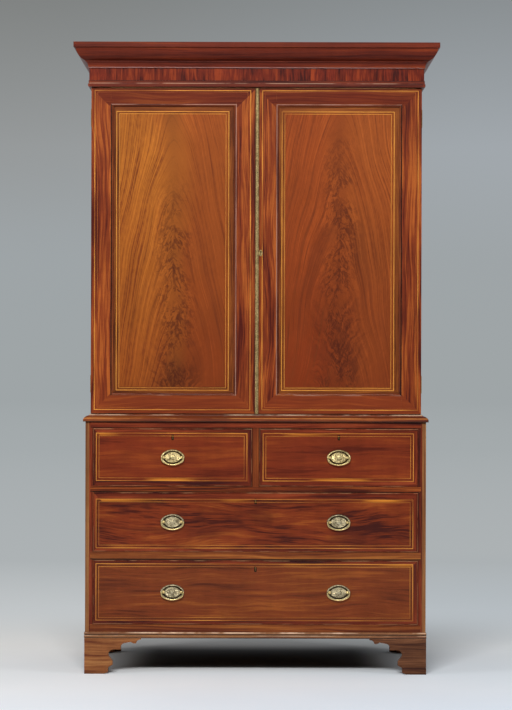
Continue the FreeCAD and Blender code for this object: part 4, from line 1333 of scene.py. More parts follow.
class MeshPiece:
    """Points and faces of one piece, collected and then made into an object."""

    def __init__(self, name: str) -> None:
        """Starts an empty piece.

        Args:
            name: its name.
        """
        self.name = name
        self.points: list[Point] = []
        self.faces: list[tuple[int, ...]] = []
        self.marked: set[int] = set()

    def rings(self, rings: Sequence[Sequence[Point]], closed: bool = False) -> None:
        """Joins rings of points into a shell.

        Args:
            rings: rings of equal length, in order along the shell.
            closed: True where the last ring joins the first, as in a hoop.
        """
        start, count = len(self.points), len(rings[0])
        self.points.extend(tuple(point) for ring in rings for point in ring)
        end = len(self.points)
        bands = len(rings) if closed else len(rings) - 1
        for band in range(bands):
            low, high = start + band * count, start + ((band + 1) % len(rings)) * count
            for index in range(count):
                after = (index + 1) % count
                self.faces.append((low + index, low + after, high + after, high + index))
        if not closed:
            self.faces.append(tuple(reversed(range(start, start + count))))
            self.faces.append(tuple(range(end - count, end)))

    def turn_faces_out(self, thing: bpy.types.Object) -> None:
        """Makes every face of the new object look outwards."""
        bpy.context.view_layer.objects.active = thing
        with bpy.context.temp_override(active_object=thing, object=thing, selected_objects=[thing],
                                       selected_editable_objects=[thing]):
            bpy.ops.object.mode_set(mode="EDIT")
            bpy.ops.mesh.select_all(action="SELECT")
            bpy.ops.mesh.normals_make_consistent(inside=False)
            bpy.ops.object.mode_set(mode="OBJECT")

    def make(self, finish: Finish, body: str, slot: str, smooth: bool = True,
             second: Finish | None = None) -> bpy.types.Object:
        """Makes the object and lets it move with a body.

        Args:
            finish: its finish.
            body: the body that it rides on.
            slot: the record's material slot; not used.
            smooth: whether its faces shade smoothly.
            second: finish of the marked faces.

        Returns:
            The new object.
        """
        mesh = bpy.data.meshes.new(self.name)
        mesh.from_pydata(self.points, [], self.faces)
        mesh.validate()
        thing = bpy.data.objects.new(self.name, mesh)
        bpy.context.scene.collection.objects.link(thing)
        self.turn_faces_out(thing)
        mesh.materials.append(finish.material())
        if second is not None:
            mesh.materials.append(second.material())
            for face in self.marked:
                mesh.polygons[face].material_index = 1
        if smooth:
            mesh.shade_smooth()
            mesh.set_sharp_from_angle(angle=SHARP_ANGLE)
        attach(thing, body)
        log.info("%s: %d points, rides on %s", self.name, len(self.points), body)
        return thing


def dress(node: str, finish: Finish) -> None:
    """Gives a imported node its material.

    Args:
        node: name of the node.
        finish: its finish.
    """
    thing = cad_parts[node]
    if not thing.data.materials:
        thing.data.materials.append(None)
    for place in thing.material_slots:
        place.material = finish.material()
    log.info("%s: %s", node, finish.name)


# Doors

@dataclass
class InlaidLines:
    """Boxwood lines let into one face, a little proud of it and made as one piece."""

    name: str
    face: float
    outlines: tuple[tuple[Rectangle, float], ...]
    proud: float = 0.0001
    sunk: float = 0.0004

    def make(self, inlay: Inlay, body: str, slot: str) -> None:
        """Makes each line as a closed hoop of four mitred strips.

        Args:
            inlay: finish of the lines.
            body: the body that they ride on.
            slot: the record's material slot.
        """
        piece = MeshPiece(self.name)
        front, back = self.face - self.proud, self.face + self.sunk
        for outer, width in self.outlines:
            inner = outer.brought_in(width, width, width, width)
            loops = [(outer.corners(), back), (outer.corners(), front),
                     (inner.corners(), front), (inner.corners(), back)]
            piece.rings([
                [(loop[corner][0], y, loop[corner][1]) for loop, y in loops]
                for corner in range(4)], closed=True)
        piece.make(inlay, body, slot, smooth=False)


@dataclass
class DoorLook:
    """One door: mitred frame, figured panel, moulding, inlaid lines and hinge leaves."""

    side: str
    seed: float
    hinge_line: float = 0.0109
    meeting_line: float = 0.0181
    frame_line_top: float = 0.0068
    frame_line_bottom: float = 0.0117
    frame_gaps: tuple[float, float, float] = (0.0099, 0.0061, 0.0082)
    panel_line: tuple[float, float, float, float] = (0.0178, 0.0253, 0.0236, 0.0172)
    panel_gaps: tuple[float, float, float] = (0.0100, 0.0085, 0.0085)
    line_width: float = 0.0025
    inner_line_width: float = 0.0015
    border: float = 0.030

    @property
    def body(self) -> str:
        """Name of the door's body."""
        return f"{self.side}_door"

    def node(self, part: str) -> str:
        """Returns the name of one of the door's nodes."""
        return f"{self.body}_{part}"

    def panel_finish(self, opening: Rectangle, face: float) -> FlameVeneer:
        """Chooses the figured veneer.

        Args:
            opening: the rectangle inside the frame.
            face: place of the panel's face.

        Returns:
            The veneer of this door's panel.
        """
        common = {
            "name": self.node("flame_veneer"), "outline": opening, "face": face, "seed": self.seed,
            "border": self.border}
        if self.side == "left":
            return FlameVeneer(**common)
        return FlameVeneer(
            **common, left=tone(146, 67, 26), right=tone(149, 75, 30), left_streaks=0.8,
            right_streaks=0.85, feather_top=0.98, frond_top=0.40, haze=tone(112, 50, 20))

    def lay_lines(self, door: Rectangle, opening: Rectangle, door_face: float, panel_face: float) -> None:
        """Makes the two lines of the frame and the two of the panel.

        Args:
            door: outline of the frame.
            opening: outline of the moulding.
            door_face: place of the frame's face.
            panel_face: place of the panel's face.
        """
        sides = (self.hinge_line, self.meeting_line)
        left, right = sides if self.side == "left" else sides[::-1]
        outer = door.brought_in(left, right, self.frame_line_top, self.frame_line_bottom)
        inner = outer.inset(*self.frame_gaps)
        InlaidLines(self.node("frame_lines"), door_face, ((outer, self.line_width),)).make(
            Inlay(self.node("frame_inlay"), 0.50, seed=self.seed), self.body, "mahogany")
        dull = Inlay(
            self.node("frame_inner_inlay"), 0.58, tone(196, 112, 48), tone(122, 54, 30), seed=self.seed + 2)
        InlaidLines(self.node("frame_inner_lines"), door_face, ((inner, self.inner_line_width),)).make(
            dull, self.body, "mahogany")
        outer = opening.brought_in(*self.panel_line)
        both = ((outer, self.line_width), (outer.inset(*self.panel_gaps), self.inner_line_width))
        InlaidLines(self.node("panel_lines"), panel_face, both).make(
            Inlay(self.node("panel_inlay"), 0.42, seed=self.seed + 3), self.body, "flame_mahogany")

    def build(self) -> None:
        """Dresses the nodes and adds the lines."""
        door = Rectangle.of_node(self.node("frame"))
        opening = Rectangle.of_node(self.node("moulding"))
        door_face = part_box(self.node("frame"))[0].y
        panel_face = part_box(self.node("panel"))[0].y
        dress(self.node("frame"), DoorFrameVeneer(
            self.node("frame_veneer"), FRAME_MAHOGANY, Run.MITRED, door, seed=self.seed, grime_and_shade=0.8))
        dress(self.node("moulding"), DoorMoulding(
            self.node("moulding_wood"), MAHOGANY, Run.MITRED, opening, seed=self.seed + 1, grime_and_shade=0.7,
            rub_and_highlight=0.2, worn_and_highlight=tone(190, 146, 128), hinge_way=-1.0 if self.side == "left" else 1.0))
        dress(self.node("panel"), self.panel_finish(opening, panel_face))
        dress(self.node("hinge_leaves"), HINGE_BRASS)
        self.lay_lines(door, opening, door_face, panel_face)


# Drawers

def stepped(start: float, end: float, count: int) -> tuple[float, ...]:
    """Returns evenly spaced values, with both ends among them."""
    return tuple(start + (end - start) * index / (count - 1) for index in range(count))


@dataclass
class Handle:
    """Stamped oval plate with a fluted rosette, two turned posts, their nuts and a drop bail."""

    bail: str
    centre: Vector
    half_width: float = 0.040
    half_height: float = 0.0265
    lobes: float = 0.012
    petals: int = 20
    beads: int = 44
    around: int = 176
    rim_share: float = 0.97
    beads_middle: float = 0.90
    beads_half: float = 0.07
    ground_shares: tuple[float, float] = (0.70, 0.83)
    ring_share: float = 0.65
    dark_shares: tuple[float, float] = (0.66, 0.84)
    button_share: float = 0.24
    post_half_spacing: float = 0.030
    post_reach: float = 0.0095
    post_radius: float = 0.0038
    front_thickness: float = 0.020
    bail_half_width: float = 0.037
    bail_drop: float = 0.025
    bail_straight: float = 0.0047
    bail_shoulder: float = 0.014
    bail_radius: float = 0.0017
    bail_sides: int = 14
    ball_sides: int = 16

    def oval(self, share: float, angle: float, height: float) -> Point:
        """Returns a point of the plate at a share of the way out, at a height off the drawer."""
        bulge = share * (1.0 + self.lobes * math.cos(4 * angle)) / (1.0 + self.lobes)
        return (
            self.centre.x + self.half_width * math.cos(angle) * bulge,
            self.centre.y - height,
            self.centre.z + self.half_height * math.sin(angle) * bulge)

    def plate_height(self, share: float, angle: float) -> float:
        """Shapes the stamped relief.

        Args:
            share: how far out the place is, from 0 in the middle to 1 at the edge.
            angle: its direction from the middle.

        Returns:
            The height off the drawer.
        """
        ground_in, ground_out = self.ground_shares
        if share > self.rim_share:
            return 0.0009
        if share > ground_out:
            bead = 0.5 + 0.5 * math.cos(self.beads * angle)
            middle = 1 - abs(share - self.beads_middle) / self.beads_half
            return 0.0014 + 0.0018 * math.sqrt(max(middle, 0.0)) * (0.68 + 0.32 * bead)
        if share > ground_in:
            return 0.0004
        if share > self.ring_share:
            return 0.0015
        if share > self.button_share:
            flute = 0.5 + 0.5 * math.cos(self.petals * angle)
            out = (share - self.button_share) / (self.ring_share - self.button_share)
            dome = math.cos(out * math.pi / 2)
            leaf = 0.5 + 0.5 * math.cos(share * 50.0 + 0.9 * math.cos(self.petals / 2 * angle))
            return 0.0006 + 0.0011 * dome ** 0.7 + 0.0013 * flute * leaf
        button = math.cos(share / self.button_share * math.pi / 2)
        return 0.0016 + 0.0012 * max(button, 0.0) ** 0.5

    def add_plate(self, piece: MeshPiece) -> None:
        """Adds the stamped plate, closed at its back, with its ground marked.

        Args:
            piece: what it is added to.
        """
        rim = (1.0, 0.985, 0.972)
        beads = (0.968, 0.935, 0.90, 0.865, 0.832)
        ground = (0.825, 0.77, 0.705)
        ring = (0.695, 0.68, 0.655)
        rosette = (0.645, *stepped(0.62, 0.27, 11), 0.245)
        button = (0.23, 0.17, 0.10, 0.04)
        shares = rim + beads + ground + ring + rosette + button
        angles = [2 * math.pi * index / self.around for index in range(self.around)]
        back = [self.oval(1.0, angle, 0.0) for angle in angles]
        first_face = len(piece.faces)
        piece.rings([back] + [
            [self.oval(share, angle, self.plate_height(share, angle)) for angle in angles]
            for share in shares])
        dark_in, dark_out = self.dark_shares
        for band, share in enumerate(shares):
            if dark_in < share < dark_out:
                start = first_face + band * self.around
                piece.marked.update(range(start, start + self.around))

    def add_turning(self, piece: MeshPiece, x: float, profile: Sequence[tuple[float, float]],
                    sides: int = 24) -> None:
        """Adds a turned shape whose axis points to the front.

        Args:
            piece: what it is added to.
            x: place of the axis.
            profile: radius and distance from the drawer's face towards the front.
            sides: how many points go round it.
        """
        piece.rings([
            circle(Vector((x, self.centre.y - reach, self.centre.z)), TO_RIGHT, UP, radius, sides)
            for radius, reach in profile])

    def add_posts(self, piece: MeshPiece) -> None:
        """Adds the posts with their collars and rounded ends, and the nuts behind the drawer front.

        Args:
            piece: what they are added to.
        """
        radius, reach, inside = self.post_radius, self.post_reach, -self.front_thickness
        post = [
            (0.0050, 0.0), (0.0050, 0.0022), (0.0044, 0.0028), (0.0030, 0.0032), (0.0028, 0.0048),
            (0.0034, 0.0056), (radius, 0.0064), (radius, reach + 0.0020), (0.0034, reach + 0.0030),
            (0.0022, reach + 0.0037), (0.0006, reach + 0.0039)]
        nut = [(0.0050, inside - 0.0030), (0.0054, inside - 0.0024), (0.0054, inside)]
        shank_end = [(0.0014, inside - 0.0046), (0.0018, inside - 0.0042), (0.0018, inside - 0.0028)]
        for side in (-1, 1):
            x = self.centre.x + side * self.post_half_spacing
            self.add_turning(piece, x, post)
            self.add_turning(piece, x, nut, 6)
            self.add_turning(piece, x, shank_end, 12)

    def bail_line(self) -> list[tuple[Vector, Vector]]:
        """Bends the bail.

        Returns:
            Places along it from right to left, each with its direction.
        """
        shoulder = self.bail_shoulder
        span = self.bail_half_width - shoulder
        drop = self.bail_drop - self.bail_straight
        bow = (span ** 2 + drop ** 2 - shoulder ** 2) / (2 * (drop - shoulder))
        turn = math.atan2(bow - drop, span)
        pivot = self.centre - TO_BACK * self.post_reach
        low = pivot - UP * self.bail_straight
        arcs = [(span, 0.0, shoulder, -angle) for angle in stepped(0.0, turn, 13)]
        arcs += [(0.0, bow - drop, bow, -angle) for angle in stepped(turn, math.pi / 2, 15)[1:]]
        right = [(pivot + TO_RIGHT * self.bail_half_width, -UP)]
        for x, z, radius, angle in arcs:
            place = low + Vector((x + radius * math.cos(angle), 0, z + radius * math.sin(angle)))
            right.append((place, Vector((math.sin(angle), 0, -math.cos(angle)))))
        left = [
            (Vector((2 * pivot.x - place.x, place.y, place.z)), Vector((way.x, 0, -way.z)))
            for place, way in reversed(right)]
        return right[:-1] + left

    def make_bail(self) -> None:
        """Makes the bail with its pins and ball ends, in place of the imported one."""
        piece = MeshPiece(f"{self.bail}_cast")
        line = self.bail_line()
        rings = []
        for place, way in line:
            middle = abs(place.x - self.centre.x)
            swell = 0.0006 * math.exp(-(middle / 0.006) ** 2)
            radius = self.bail_radius + swell + 0.0002 * (middle / self.bail_half_width)
            rings.append(circle(place, TO_BACK.cross(way).normalized(), TO_BACK, radius, self.bail_sides))
        piece.rings(rings)
        ball_and_pin = [
            (0.0004, 0.0028), (0.0016, 0.0024), (0.0026, 0.0012), (0.0028, 0.0), (0.0026, -0.0012),
            (0.0016, -0.0021), (0.0013, -0.0026), (0.0013, -0.0068)]
        for (place, _), side in ((line[0], 1), (line[-1], -1)):
            piece.rings([
                circle(place + TO_RIGHT * (side * reach), TO_BACK, UP, radius, self.ball_sides)
                for radius, reach in ball_and_pin])
        bail = piece.make(BAIL_BRASS, self.bail, "brass")
        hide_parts(self.bail)

    def build(self, plates: MeshPiece, posts: MeshPiece) -> None:
        """Adds the plate and the posts to the drawer's pieces, and makes the bail.

        Args:
            plates: the drawer's piece of plates.
            posts: the drawer's piece of posts.
        """
        self.add_plate(plates)
        self.add_posts(posts)
        self.make_bail()


@dataclass
class KeyholeLining:
    """Thin brass lining of a keyhole: a round head over a straight slot."""

    centre: Vector
    radius: float = 0.0030
    slot_half: float = 0.0020
    slot_length: float = 0.012
    wall: float = 0.0005
    proud: float = 0.00015
    depth: float = 0.003
    steps: int = 17

    def outline(self, grow: float) -> list[tuple[float, float]]:
        """Shapes the keyhole.

        Args:
            grow: how far the outline stands off the hole.

        Returns:
            The outline in X and Z from the keyhole's centre.
        """
        radius, half = self.radius + grow, self.slot_half + grow
        start = -math.acos(half / radius)
        head = [(radius * math.cos(angle), radius * math.sin(angle))
                for angle in stepped(start, math.pi - start, self.steps)]
        low = -self.slot_length - grow
        return head + [(-half, low), (half, low)]

    def make(self, name: str, body: str) -> None:
        """Makes the lining.

        Args:
            name: its name.
            body: the body that it rides on.
        """
        piece = MeshPiece(name)
        front, back = self.centre.y - self.proud, self.centre.y + self.depth
        piece.rings([
            [(self.centre.x + x, y, self.centre.z + z)
             for (x, z), y in ((inner, back), (inner, front), (outer, front), (outer, back))]
            for inner, outer in zip(self.outline(0.0), self.outline(self.wall))], closed=True)
        piece.make(SHADED_LINING_BRASS, body, "brass", smooth=False)


@dataclass
class DrawerLook:
    """One drawer: veneered front with its lines, oak box, lock and handles."""

    name: str
    wood: Wood
    seed: float
    waves: float
    handles: dict[str, float]
    lines_in: tuple[float, float, float, float] = (0.0098, 0.0168, 0.0154, 0.0177)
    foot_sheen: float = 0.0
    brasses: tuple[Brass, Brass] = (PLATE_BRASS, GROUND_BRASS)
    line_width: float = 0.0023
    inner_line_width: float = 0.0013
    line_gap: float = 0.0098
    keyhole_drop: float = 0.027
    opening_gap: float = 0.001

    def build(self) -> None:
        """Dresses the nodes, adds lines, keyhole and handles."""
        front = Rectangle.of_node(f"{self.name}_front")
        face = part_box("drawer_rails")[0].y
        key_z = front.high + self.opening_gap - self.keyhole_drop
        outer = front.brought_in(*self.lines_in)
        inner = outer.inset(self.line_gap, self.line_gap, self.line_gap)
        dress(f"{self.name}_front", DrawerVeneer(
            f"{self.name}_veneer", front, outer, self.wood, self.waves, face, self.line_width,
            self.line_gap - self.line_width, self.foot_sheen, key_z, seed=self.seed))
        dress(f"{self.name}_box", Timber(
            f"{self.name}_oak", CARCASS_OAK, Run.ALONG_Y, seed=self.seed, polish=Polish.RAW, grime_and_shade=0.7,
            rub_and_highlight=0.1, worn_and_highlight=CARCASS_OAK.light, reach=0.03))
        dress(f"{self.name}_lock", LOCK_BRASS)
        lines = ((outer, self.line_width), (inner, self.inner_line_width))
        InlaidLines(f"{self.name}_lines", face, lines).make(
            Inlay(f"{self.name}_inlay", 0.52, seed=self.seed + 4), self.name, "mahogany")
        KeyholeLining(Vector((front.centre[0], face, key_z))).make(
            f"{self.name}_keyhole_lining", self.name)
        self.add_handles(face)

    def add_handles(self, face: float) -> None:
        """Adds plates, posts and bails.

        Args:
            face: place of the drawer's face.
        """
        plates = MeshPiece(f"{self.name}_stamped_plates")
        posts = MeshPiece(f"{self.name}_turned_posts")
        z = Rectangle.of_node(f"{self.name}_handle_plates").centre[1]
        for bail, x in self.handles.items():
            Handle(bail, Vector((x, face, z))).build(plates, posts)
        raised, ground = self.brasses
        stamped = plates.make(raised, self.name, "brass", second=ground)
        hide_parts(f"{self.name}_handle_plates")
        posts.make(BAIL_BRASS, self.name, "brass")


# Case and trays

RAW_BOARD = {"seed": 20.0, "polish": Polish.RAW, "grime_and_shade": 0.7, "rub_and_highlight": 0.1}


@dataclass
class CaseLook:
    """The two cases, their mouldings and feet."""

    base_half: float = 0.579
    base_front: float = -0.2545
    base_inner: float = 0.554
    base_lip: float = 0.566
    upper_half: float = 0.563
    upper_front: float = -0.2159
    upper_inner: float = 0.543
    frieze_half: float = 0.570
    frieze_front: float = -0.2455
    board_gap: float = 0.001
    # Pale lines are painted highlights on moulding crests; dark ones are painted shadow in grooves and
    # under edges.
    bead_light_lines: tuple[PaintedLightLine, ...] = (
        PaintedLightLine(2.0090, 0.0014, PAINTED_HIGHLIGHT, 0.40, True), PaintedLightLine(2.0175, 0.0016, SOOT_AND_SHADOW, 0.6))
    waist_light_lines: tuple[PaintedLightLine, ...] = (
        PaintedLightLine(0.8806, 0.0020, PAINTED_HIGHLIGHT, 0.75, True), PaintedLightLine(0.8735, 0.0016, SOOT_AND_SHADOW, 0.45),
        PaintedLightLine(0.8690, 0.0018, GOLDEN_HIGHLIGHT, 0.55, True), PaintedLightLine(0.8588, 0.0020, SOOT_AND_SHADOW, 0.8))
    base_light_lines: tuple[PaintedLightLine, ...] = (
        PaintedLightLine(0.1400, 0.0022, PAINTED_HIGHLIGHT, 0.9, True), PaintedLightLine(0.1345, 0.0018, SOOT_AND_SHADOW, 0.8),
        PaintedLightLine(0.1300, 0.0014, PAINTED_HIGHLIGHT, 0.45, True), PaintedLightLine(0.1225, 0.0016, SOOT_AND_SHADOW, 0.8))
    # Painted shadow over the gap above each drawer.
    drawer_gap_shadows: tuple[float, ...] = (0.3900, 0.6190, 0.8357)
    drawer_gap_shadow_half: float = 0.0022
    rail_leaves: tuple[tuple[float, Wood], ...] = ((0.60, ORANGE_MAHOGANY), (0.80, WINE_MAHOGANY))

    def moulding(self, name: str, wood: Wood, seed: float, half: float, front: float,
                 *lines: PaintedLightLine) -> Timber:
        """Chooses the wood of a moulding, with its grain round the front and the sides.

        Args:
            name: name of the finish.
            wood: the wood.
            seed: where in the wood it is cut.
            half: half the width of the case behind it.
            front: front of the case behind it.
            lines: painted highlights and painted shadows along it; with any, it is burnished.

        Returns:
            The finish.
        """
        polish = Polish.BURNISHED if lines else Polish.FRENCH
        return Timber(
            name, wood, Run.WRAPPED, half_width=half, front=front, lines=lines, seed=seed,
            polish=polish, rub_and_highlight=0.8, worn_and_highlight=wood.light)

    def dress_mouldings(self) -> None:
        """Dresses cornice, frieze, waist and base mouldings."""
        dress("cornice_moulding", self.moulding(
            "cornice_wood", CORNICE_MAHOGANY, 1.3, self.frieze_half, self.frieze_front))
        dress("frieze_bead", self.moulding(
            "frieze_bead_wood", CORNICE_MAHOGANY, 2.1, self.upper_half, self.frieze_front,
            *self.bead_light_lines))
        dress("waist_moulding", self.moulding(
            "waist_wood", MAHOGANY, 3.2, self.base_half, self.base_front, *self.waist_light_lines))
        dress("base_moulding", self.moulding(
            "base_moulding_wood", EDGE_MAHOGANY, 4.4, self.base_half, self.base_front,
            *self.base_light_lines))
        dress("cornice_frame", FriezeVeneer(
            "frieze_veneer", FRIEZE_MAHOGANY, seed=5.0, worn_and_highlight=FRIEZE_MAHOGANY.light))

    def dress_feet(self) -> None:
        """Dresses the four feet, the right ones in browner wood."""
        feet = ("foot_front_left", "foot_front_right", "foot_rear_left", "foot_rear_right")
        for index, foot in enumerate(feet):
            wood = BROWN_MAHOGANY if foot.endswith("right") else FOOT_MAHOGANY
            dress(foot, Timber(
                f"{foot}_wood", wood, Run.WRAPPED, half_width=self.base_half, front=self.base_front,
                seed=6.0 + index, grime_and_shade=0.8, rub_and_highlight=0.9))

    def dress_sides(self) -> None:
        """Dresses the sides of both cases, and the rails and the upright between the drawers."""
        for index, side in enumerate(("left", "right")):
            dress(f"base_side_{side}", CaseSide(
                f"base_side_{side}_wood", EDGE_MAHOGANY, Run.ALONG_Z, inner=self.base_inner,
                front_edge=self.base_front, strip=self.base_lip, seed=11.0 + index,
                worn_and_highlight=EDGE_MAHOGANY.light))
            dress(f"upper_side_{side}", CaseSide(
                f"upper_side_{side}_wood", SIDE_MAHOGANY, Run.ALONG_Z, inner=self.upper_inner,
                front_edge=self.upper_front, strip=0.0, seed=14.0 + index,
                worn_and_highlight=SIDE_MAHOGANY.light))
        # Painted shadow lines over the drawers' gaps.
        gap_shadows = tuple(PaintedLightLine(z, self.drawer_gap_shadow_half, SOOT_AND_SHADOW, 0.95) for z in self.drawer_gap_shadows)
        dress("drawer_rails", RailVeneer(
            "rail_wood", RAIL_MAHOGANY, Run.ALONG_X, leaves=self.rail_leaves, lines=gap_shadows, seed=17.0,
            grime_and_shade=0.8))
        dress("drawer_divider", Timber("divider_wood", MAHOGANY, Run.ALONG_Z, seed=18.0))

    def dress_boards(self) -> None:
        """Dresses bottoms, tops, back boards and runners."""
        pine = Timber("pine_across", CARCASS_PINE, Run.ALONG_X, **RAW_BOARD)
        for node in ("base_bottom", "base_top", "upper_top"):
            dress(node, pine)
        dress("upper_bottom", Timber("upper_bottom_wood", MAHOGANY, Run.ALONG_X, seed=19.0))
        for node in ("base_back_boards", "upper_back_boards"):
            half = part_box(node)[1].x + self.board_gap / 2
            dress(node, BackBoards(
                f"{node}_pine", CARCASS_PINE, Run.ALONG_Z, half=half, **RAW_BOARD))
        dress("drawer_runners", Timber("pine_front_to_back", CARCASS_PINE, Run.ALONG_Y, **RAW_BOARD))
        dress("tray_runners", Timber("oak_front_to_back", CARCASS_OAK, Run.ALONG_Y, **RAW_BOARD))

    def build(self) -> None:
        """Dresses every node of the case."""
        self.dress_mouldings()
        self.dress_feet()
        self.dress_sides()
        self.dress_boards()
        dress("hinge_case_leaves", HINGE_BRASS)


@dataclass
class TrayLook:
    """The sliding trays behind the doors."""

    count: int = 4

    def build(self) -> None:
        """Dresses each tray in waxed oak, with grain of its own."""
        for number in range(1, self.count + 1):
            dress(f"tray_{number}", Timber(
                f"tray_{number}_oak", CARCASS_OAK, Run.ALONG_X, seed=30.0 + number,
                polish=Polish.WAXED, grime_and_shade=0.6, rub_and_highlight=0.2))


# Studio

@dataclass(frozen=True)
class SoftBox:
    """A soft lamp that points at the press."""

    name: str
    place: Point
    size: tuple[float, float]
    watts: float
    aim: Point = (0.0, 0.0, 1.1)
    colour: Point = (1.0, 0.985, 0.96)

    def build(self) -> None:
        """Makes the lamp."""
        light = bpy.data.lights.new(self.name, "AREA")
        light.shape = "RECTANGLE"
        light.size, light.size_y = self.size
        light.energy = self.watts
        light.color = self.colour
        lamp = bpy.data.objects.new(self.name, light)
        lamp.location = self.place
        lamp.rotation_mode = "QUATERNION"
        lamp.rotation_quaternion = (Vector(self.aim) - Vector(self.place)).to_track_quat("-Z", "Y")
        bpy.context.scene.collection.objects.link(lamp)


Tones = tuple[tuple[float, Tone], ...]


@dataclass
class Studio:
    """Pale floor, plain grey surroundings, soft lamps and the camera."""

    camera_distance: float = 7.0
    camera_height: float = 1.085
    front_plane: float = -0.2545
    lens: float = 104.4
    sensor: float = 36.0
    roll: float = -0.0028
    floor_radius: float = 45.0
    floor_steps: int = 96
    light_y: float = 2.0
    bounce: Tone = tone(150, 150, 150)
    near_tones: Tones = (
        (1.2, tone(241, 247, 255)), (1.5, tone(246, 250, 255)), (2.0, tone(244, 248, 252)),
        (2.5, tone(254, 255, 255)))
    far_tones: Tones = (
        (2.0, tone(212, 216, 219)), (3.4, tone(194, 198, 200)), (5.6, tone(173, 178, 180)),
        (18.5, tone(164, 170, 172)), (42.0, tone(159, 165, 167)))
    sky_tones: Tones = (
        (0.0, tone(159, 165, 167)), (0.06, tone(158, 164, 167)), (0.10, tone(156, 162, 165)),
        (0.168, tone(134, 139, 140)), (0.4, tone(122, 127, 129)))
    # Painted shade: tints that darken the floor towards the right.
    near_right_shade: Tone = (0.91, 0.95, 0.99, 1.0)
    far_right_shade: Tone = (0.88, 0.91, 0.94, 1.0)
    sky_left: Tone = (0.92, 0.885, 0.86, 1.0)
    sky_right: Tone = (1.08, 1.08, 1.11, 1.0)
    sky_light: Tone = (0.97, 0.99, 1.0, 1.0)
    shade: float = 0.86
    lamps: tuple[SoftBox, ...] = (
        SoftBox("key_soft_box", (-0.7, -6.25, 4.95), (3.6, 1.9), 445.0),
        SoftBox("left_soft_box", (-3.2, -1.5, 1.5), (0.7, 2.0), 24.0),
        SoftBox("right_soft_box", (3.2, -1.5, 1.5), (0.7, 2.0), 22.0))

    def ramp(self, graph: Graph, tones: Tones, value: Socket) -> Socket:
        """Goes evenly through tones as a value rises.

        Args:
            graph: the material's tree.
            tones: the tones, each with the value at which it stands.
            value: the value.

        Returns:
            The colour.
        """
        colour: Feed = tones[0][1]
        for (low, _), (high, after) in zip(tones, tones[1:]):
            share = graph.add("ShaderNodeMapRange", {0: value, 1: low, 2: high}).outputs[0]
            colour = graph.blend(share, colour, after)
        return colour

    def seen_directly(self, graph: Graph) -> Socket:
        """Finds what the camera sees, apart from what only lights the press.

        Args:
            graph: the material's tree.

        Returns:
            1 for what is seen straight, by reflection or through glass.
        """
        path = graph.add("ShaderNodeLightPath").outputs
        bent = graph.math("MAXIMUM", path["Is Glossy Ray"], path["Is Transmission Ray"])
        return graph.math("MAXIMUM", path["Is Camera Ray"], bent)

    def near_floor(self, graph: Graph, x: Socket, y: Socket, from_light: Socket) -> Socket:
        """Colours the floor round the press.

        Args:
            graph: the floor's tree.
            x: place to the right.
            y: place to the back.
            from_light: distance from the middle of the lit patch.

        Returns:
            The colour, with a painted shadow under the press and painted shade towards the right.
        """
        near = self.ramp(graph, self.near_tones, from_light)
        mottle = graph.spread(graph.noise(graph.place(), 1.4, 3.0), 0.3, 0.7, 0.985, 1.015)
        near = graph.shaded(near, mottle)
        near = graph.blend(graph.spread(x, -0.9, 0.9), near, graph.times(near, self.near_right_shade))
        # Painted shadow under the press, laid over the real one.
        painted_shadow_under = graph.product(
            graph.spread(graph.size(x), 0.54, 0.34), graph.spread(y, -0.118, -0.096),
            graph.spread(y, 0.50, 0.28))
        return graph.lay(near, SOOT_AND_SHADOW, painted_shadow_under, self.shade)

    def paint_floor(self, graph: Graph) -> None:
        """Paints the floor: matt near the press, fading into an even distance.

        Args:
            graph: the floor's tree.
        """
        x, y, _ = graph.split(graph.place())
        forward = graph.total(y, self.light_y)
        from_light = graph.math("SQRT", graph.total(
            graph.product(x, x, 0.35), graph.product(forward, forward)))
        near = self.near_floor(graph, x, y, from_light)
        near = graph.blend(self.seen_directly(graph), self.bounce, near)
        far = self.ramp(graph, self.far_tones, from_light)
        # Painted shade towards the right on the far floor as well.
        far = graph.lay(
            far, graph.times(far, self.far_right_shade), graph.spread(x, -0.9, 0.9),
            graph.spread(from_light, 6.5, 3.4))
        matt = graph.add("ShaderNodeBsdfDiffuse", {"Color": near})
        glow = graph.add("ShaderNodeEmission", {"Color": far, "Strength": 1.0})
        share = graph.product(graph.spread(from_light, 2.35, 3.6), self.seen_directly(graph))
        mix = graph.add("ShaderNodeMixShader", {0: share, 1: matt.outputs[0], 2: glow.outputs[0]})
        graph.add("ShaderNodeOutputMaterial", {"Surface": mix.outputs[0]})

    def make_floor(self) -> None:
        """Makes the floor, which takes the shadow near the press and fades into the distance."""
        mesh = bpy.data.meshes.new("studio_floor")
        rim = circle(Vector(NOWHERE), TO_RIGHT, TO_BACK, self.floor_radius, self.floor_steps)
        mesh.from_pydata(rim, [], [tuple(range(self.floor_steps))])
        floor = bpy.data.objects.new("studio_floor", mesh)
        bpy.context.scene.collection.objects.link(floor)
        surface = bpy.data.materials.new("studio_floor_paint")
        surface.use_nodes = True
        surface.node_tree.nodes.clear()
        self.paint_floor(Graph(surface.node_tree))
        mesh.materials.append(surface)

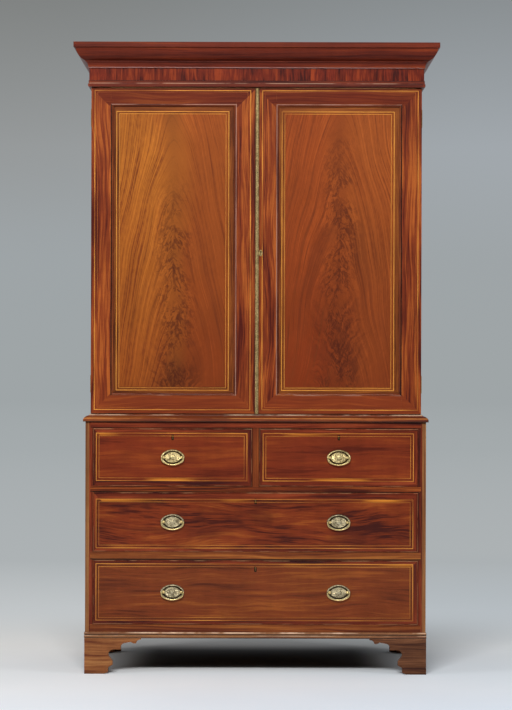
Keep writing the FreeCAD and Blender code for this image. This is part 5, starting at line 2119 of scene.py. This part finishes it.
    def make_world(self) -> None:
        """Makes the even light from all round, and the grey that is seen behind the press."""
        world = bpy.data.worlds.new("studio_world")
        bpy.context.scene.world = world
        world.use_nodes = True
        world.node_tree.nodes.clear()
        graph = Graph(world.node_tree)
        sideways, _, up = graph.split(graph.add("ShaderNodeTexCoord").outputs["Generated"])
        seen = self.ramp(graph, self.sky_tones, up)
        tint = graph.blend(graph.spread(sideways, -0.13, 0.13), self.sky_left, self.sky_right)
        seen = graph.blend(graph.spread(up, 0.04, 0.11), seen, graph.times(seen, tint))
        shown = graph.add("ShaderNodeBackground", {"Color": seen, "Strength": 1.0})
        lit = graph.add("ShaderNodeBackground", {
            "Color": self.sky_light, "Strength": graph.spread(up, 0.0, 0.6, 0.015, 0.24)})
        mix = graph.add(
            "ShaderNodeMixShader", {0: self.seen_directly(graph), 1: lit.outputs[0], 2: shown.outputs[0]})
        graph.add("ShaderNodeOutputWorld", {"Surface": mix.outputs[0]})

    def make_camera(self) -> None:
        """Makes the level camera in front of the press."""
        camera = bpy.data.cameras.new("studio_camera")
        camera.lens = self.lens
        camera.sensor_width = self.sensor
        thing = bpy.data.objects.new("studio_camera", camera)
        thing.location = (0.0, self.front_plane - self.camera_distance, self.camera_height)
        thing.rotation_euler = (math.radians(90), self.roll, 0.0)
        bpy.context.scene.collection.objects.link(thing)
        bpy.context.scene.camera = thing

    def build(self) -> None:
        """Makes everything round the press."""
        self.make_floor()
        self.make_world()
        for lamp in self.lamps:
            lamp.build()
        self.make_camera()
        bpy.context.scene.view_settings.view_transform = "Standard"
        log.info("studio: floor, world, %d lamps and camera", len(self.lamps))


HANDLE_X = 0.2825
DULL_BRASSES = (DULL_PLATE_BRASS, DULL_GROUND_BRASS)
DRAWERS = (
    DrawerLook(
        "short_left_drawer", SHORT_MAHOGANY, 1.0, 0.25, {"short_left_drawer_bail": -HANDLE_X},
        foot_sheen=0.22),
    DrawerLook(
        "short_right_drawer", SHORT_MAHOGANY, 4.0, 0.25, {"short_right_drawer_bail": HANDLE_X},
        (0.0120, 0.0156, 0.0154, 0.0177), foot_sheen=0.18),
    DrawerLook(
        "middle_drawer", WAVY_MAHOGANY, 7.0, 0.45,
        {"middle_drawer_bail_left": -HANDLE_X, "middle_drawer_bail_right": HANDLE_X},
        (0.0098, 0.0168, 0.0225, 0.0115), brasses=DULL_BRASSES),
    DrawerLook(
        "bottom_drawer", STREAKY_MAHOGANY, 12.0, 0.35,
        {"bottom_drawer_bail_left": -HANDLE_X, "bottom_drawer_bail_right": HANDLE_X},
        (0.0098, 0.0168, 0.0117, 0.0125), brasses=DULL_BRASSES),
)


def main() -> None:
    """Builds the looks of the press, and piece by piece."""
    logging.basicConfig(level=logging.INFO, format="%(name)s: %(message)s")
    CaseLook().build()
    DoorLook("left", 2.0).build()
    DoorLook("right", 9.0).build()
    dress("right_door_astragal", STRIP_BRASS)
    dress("right_door_lock", ESCUTCHEON_BRASS)
    for drawer in DRAWERS:
        drawer.build()
    TrayLook().build()
    Studio().build()


if __name__ == "__main__":
    main()
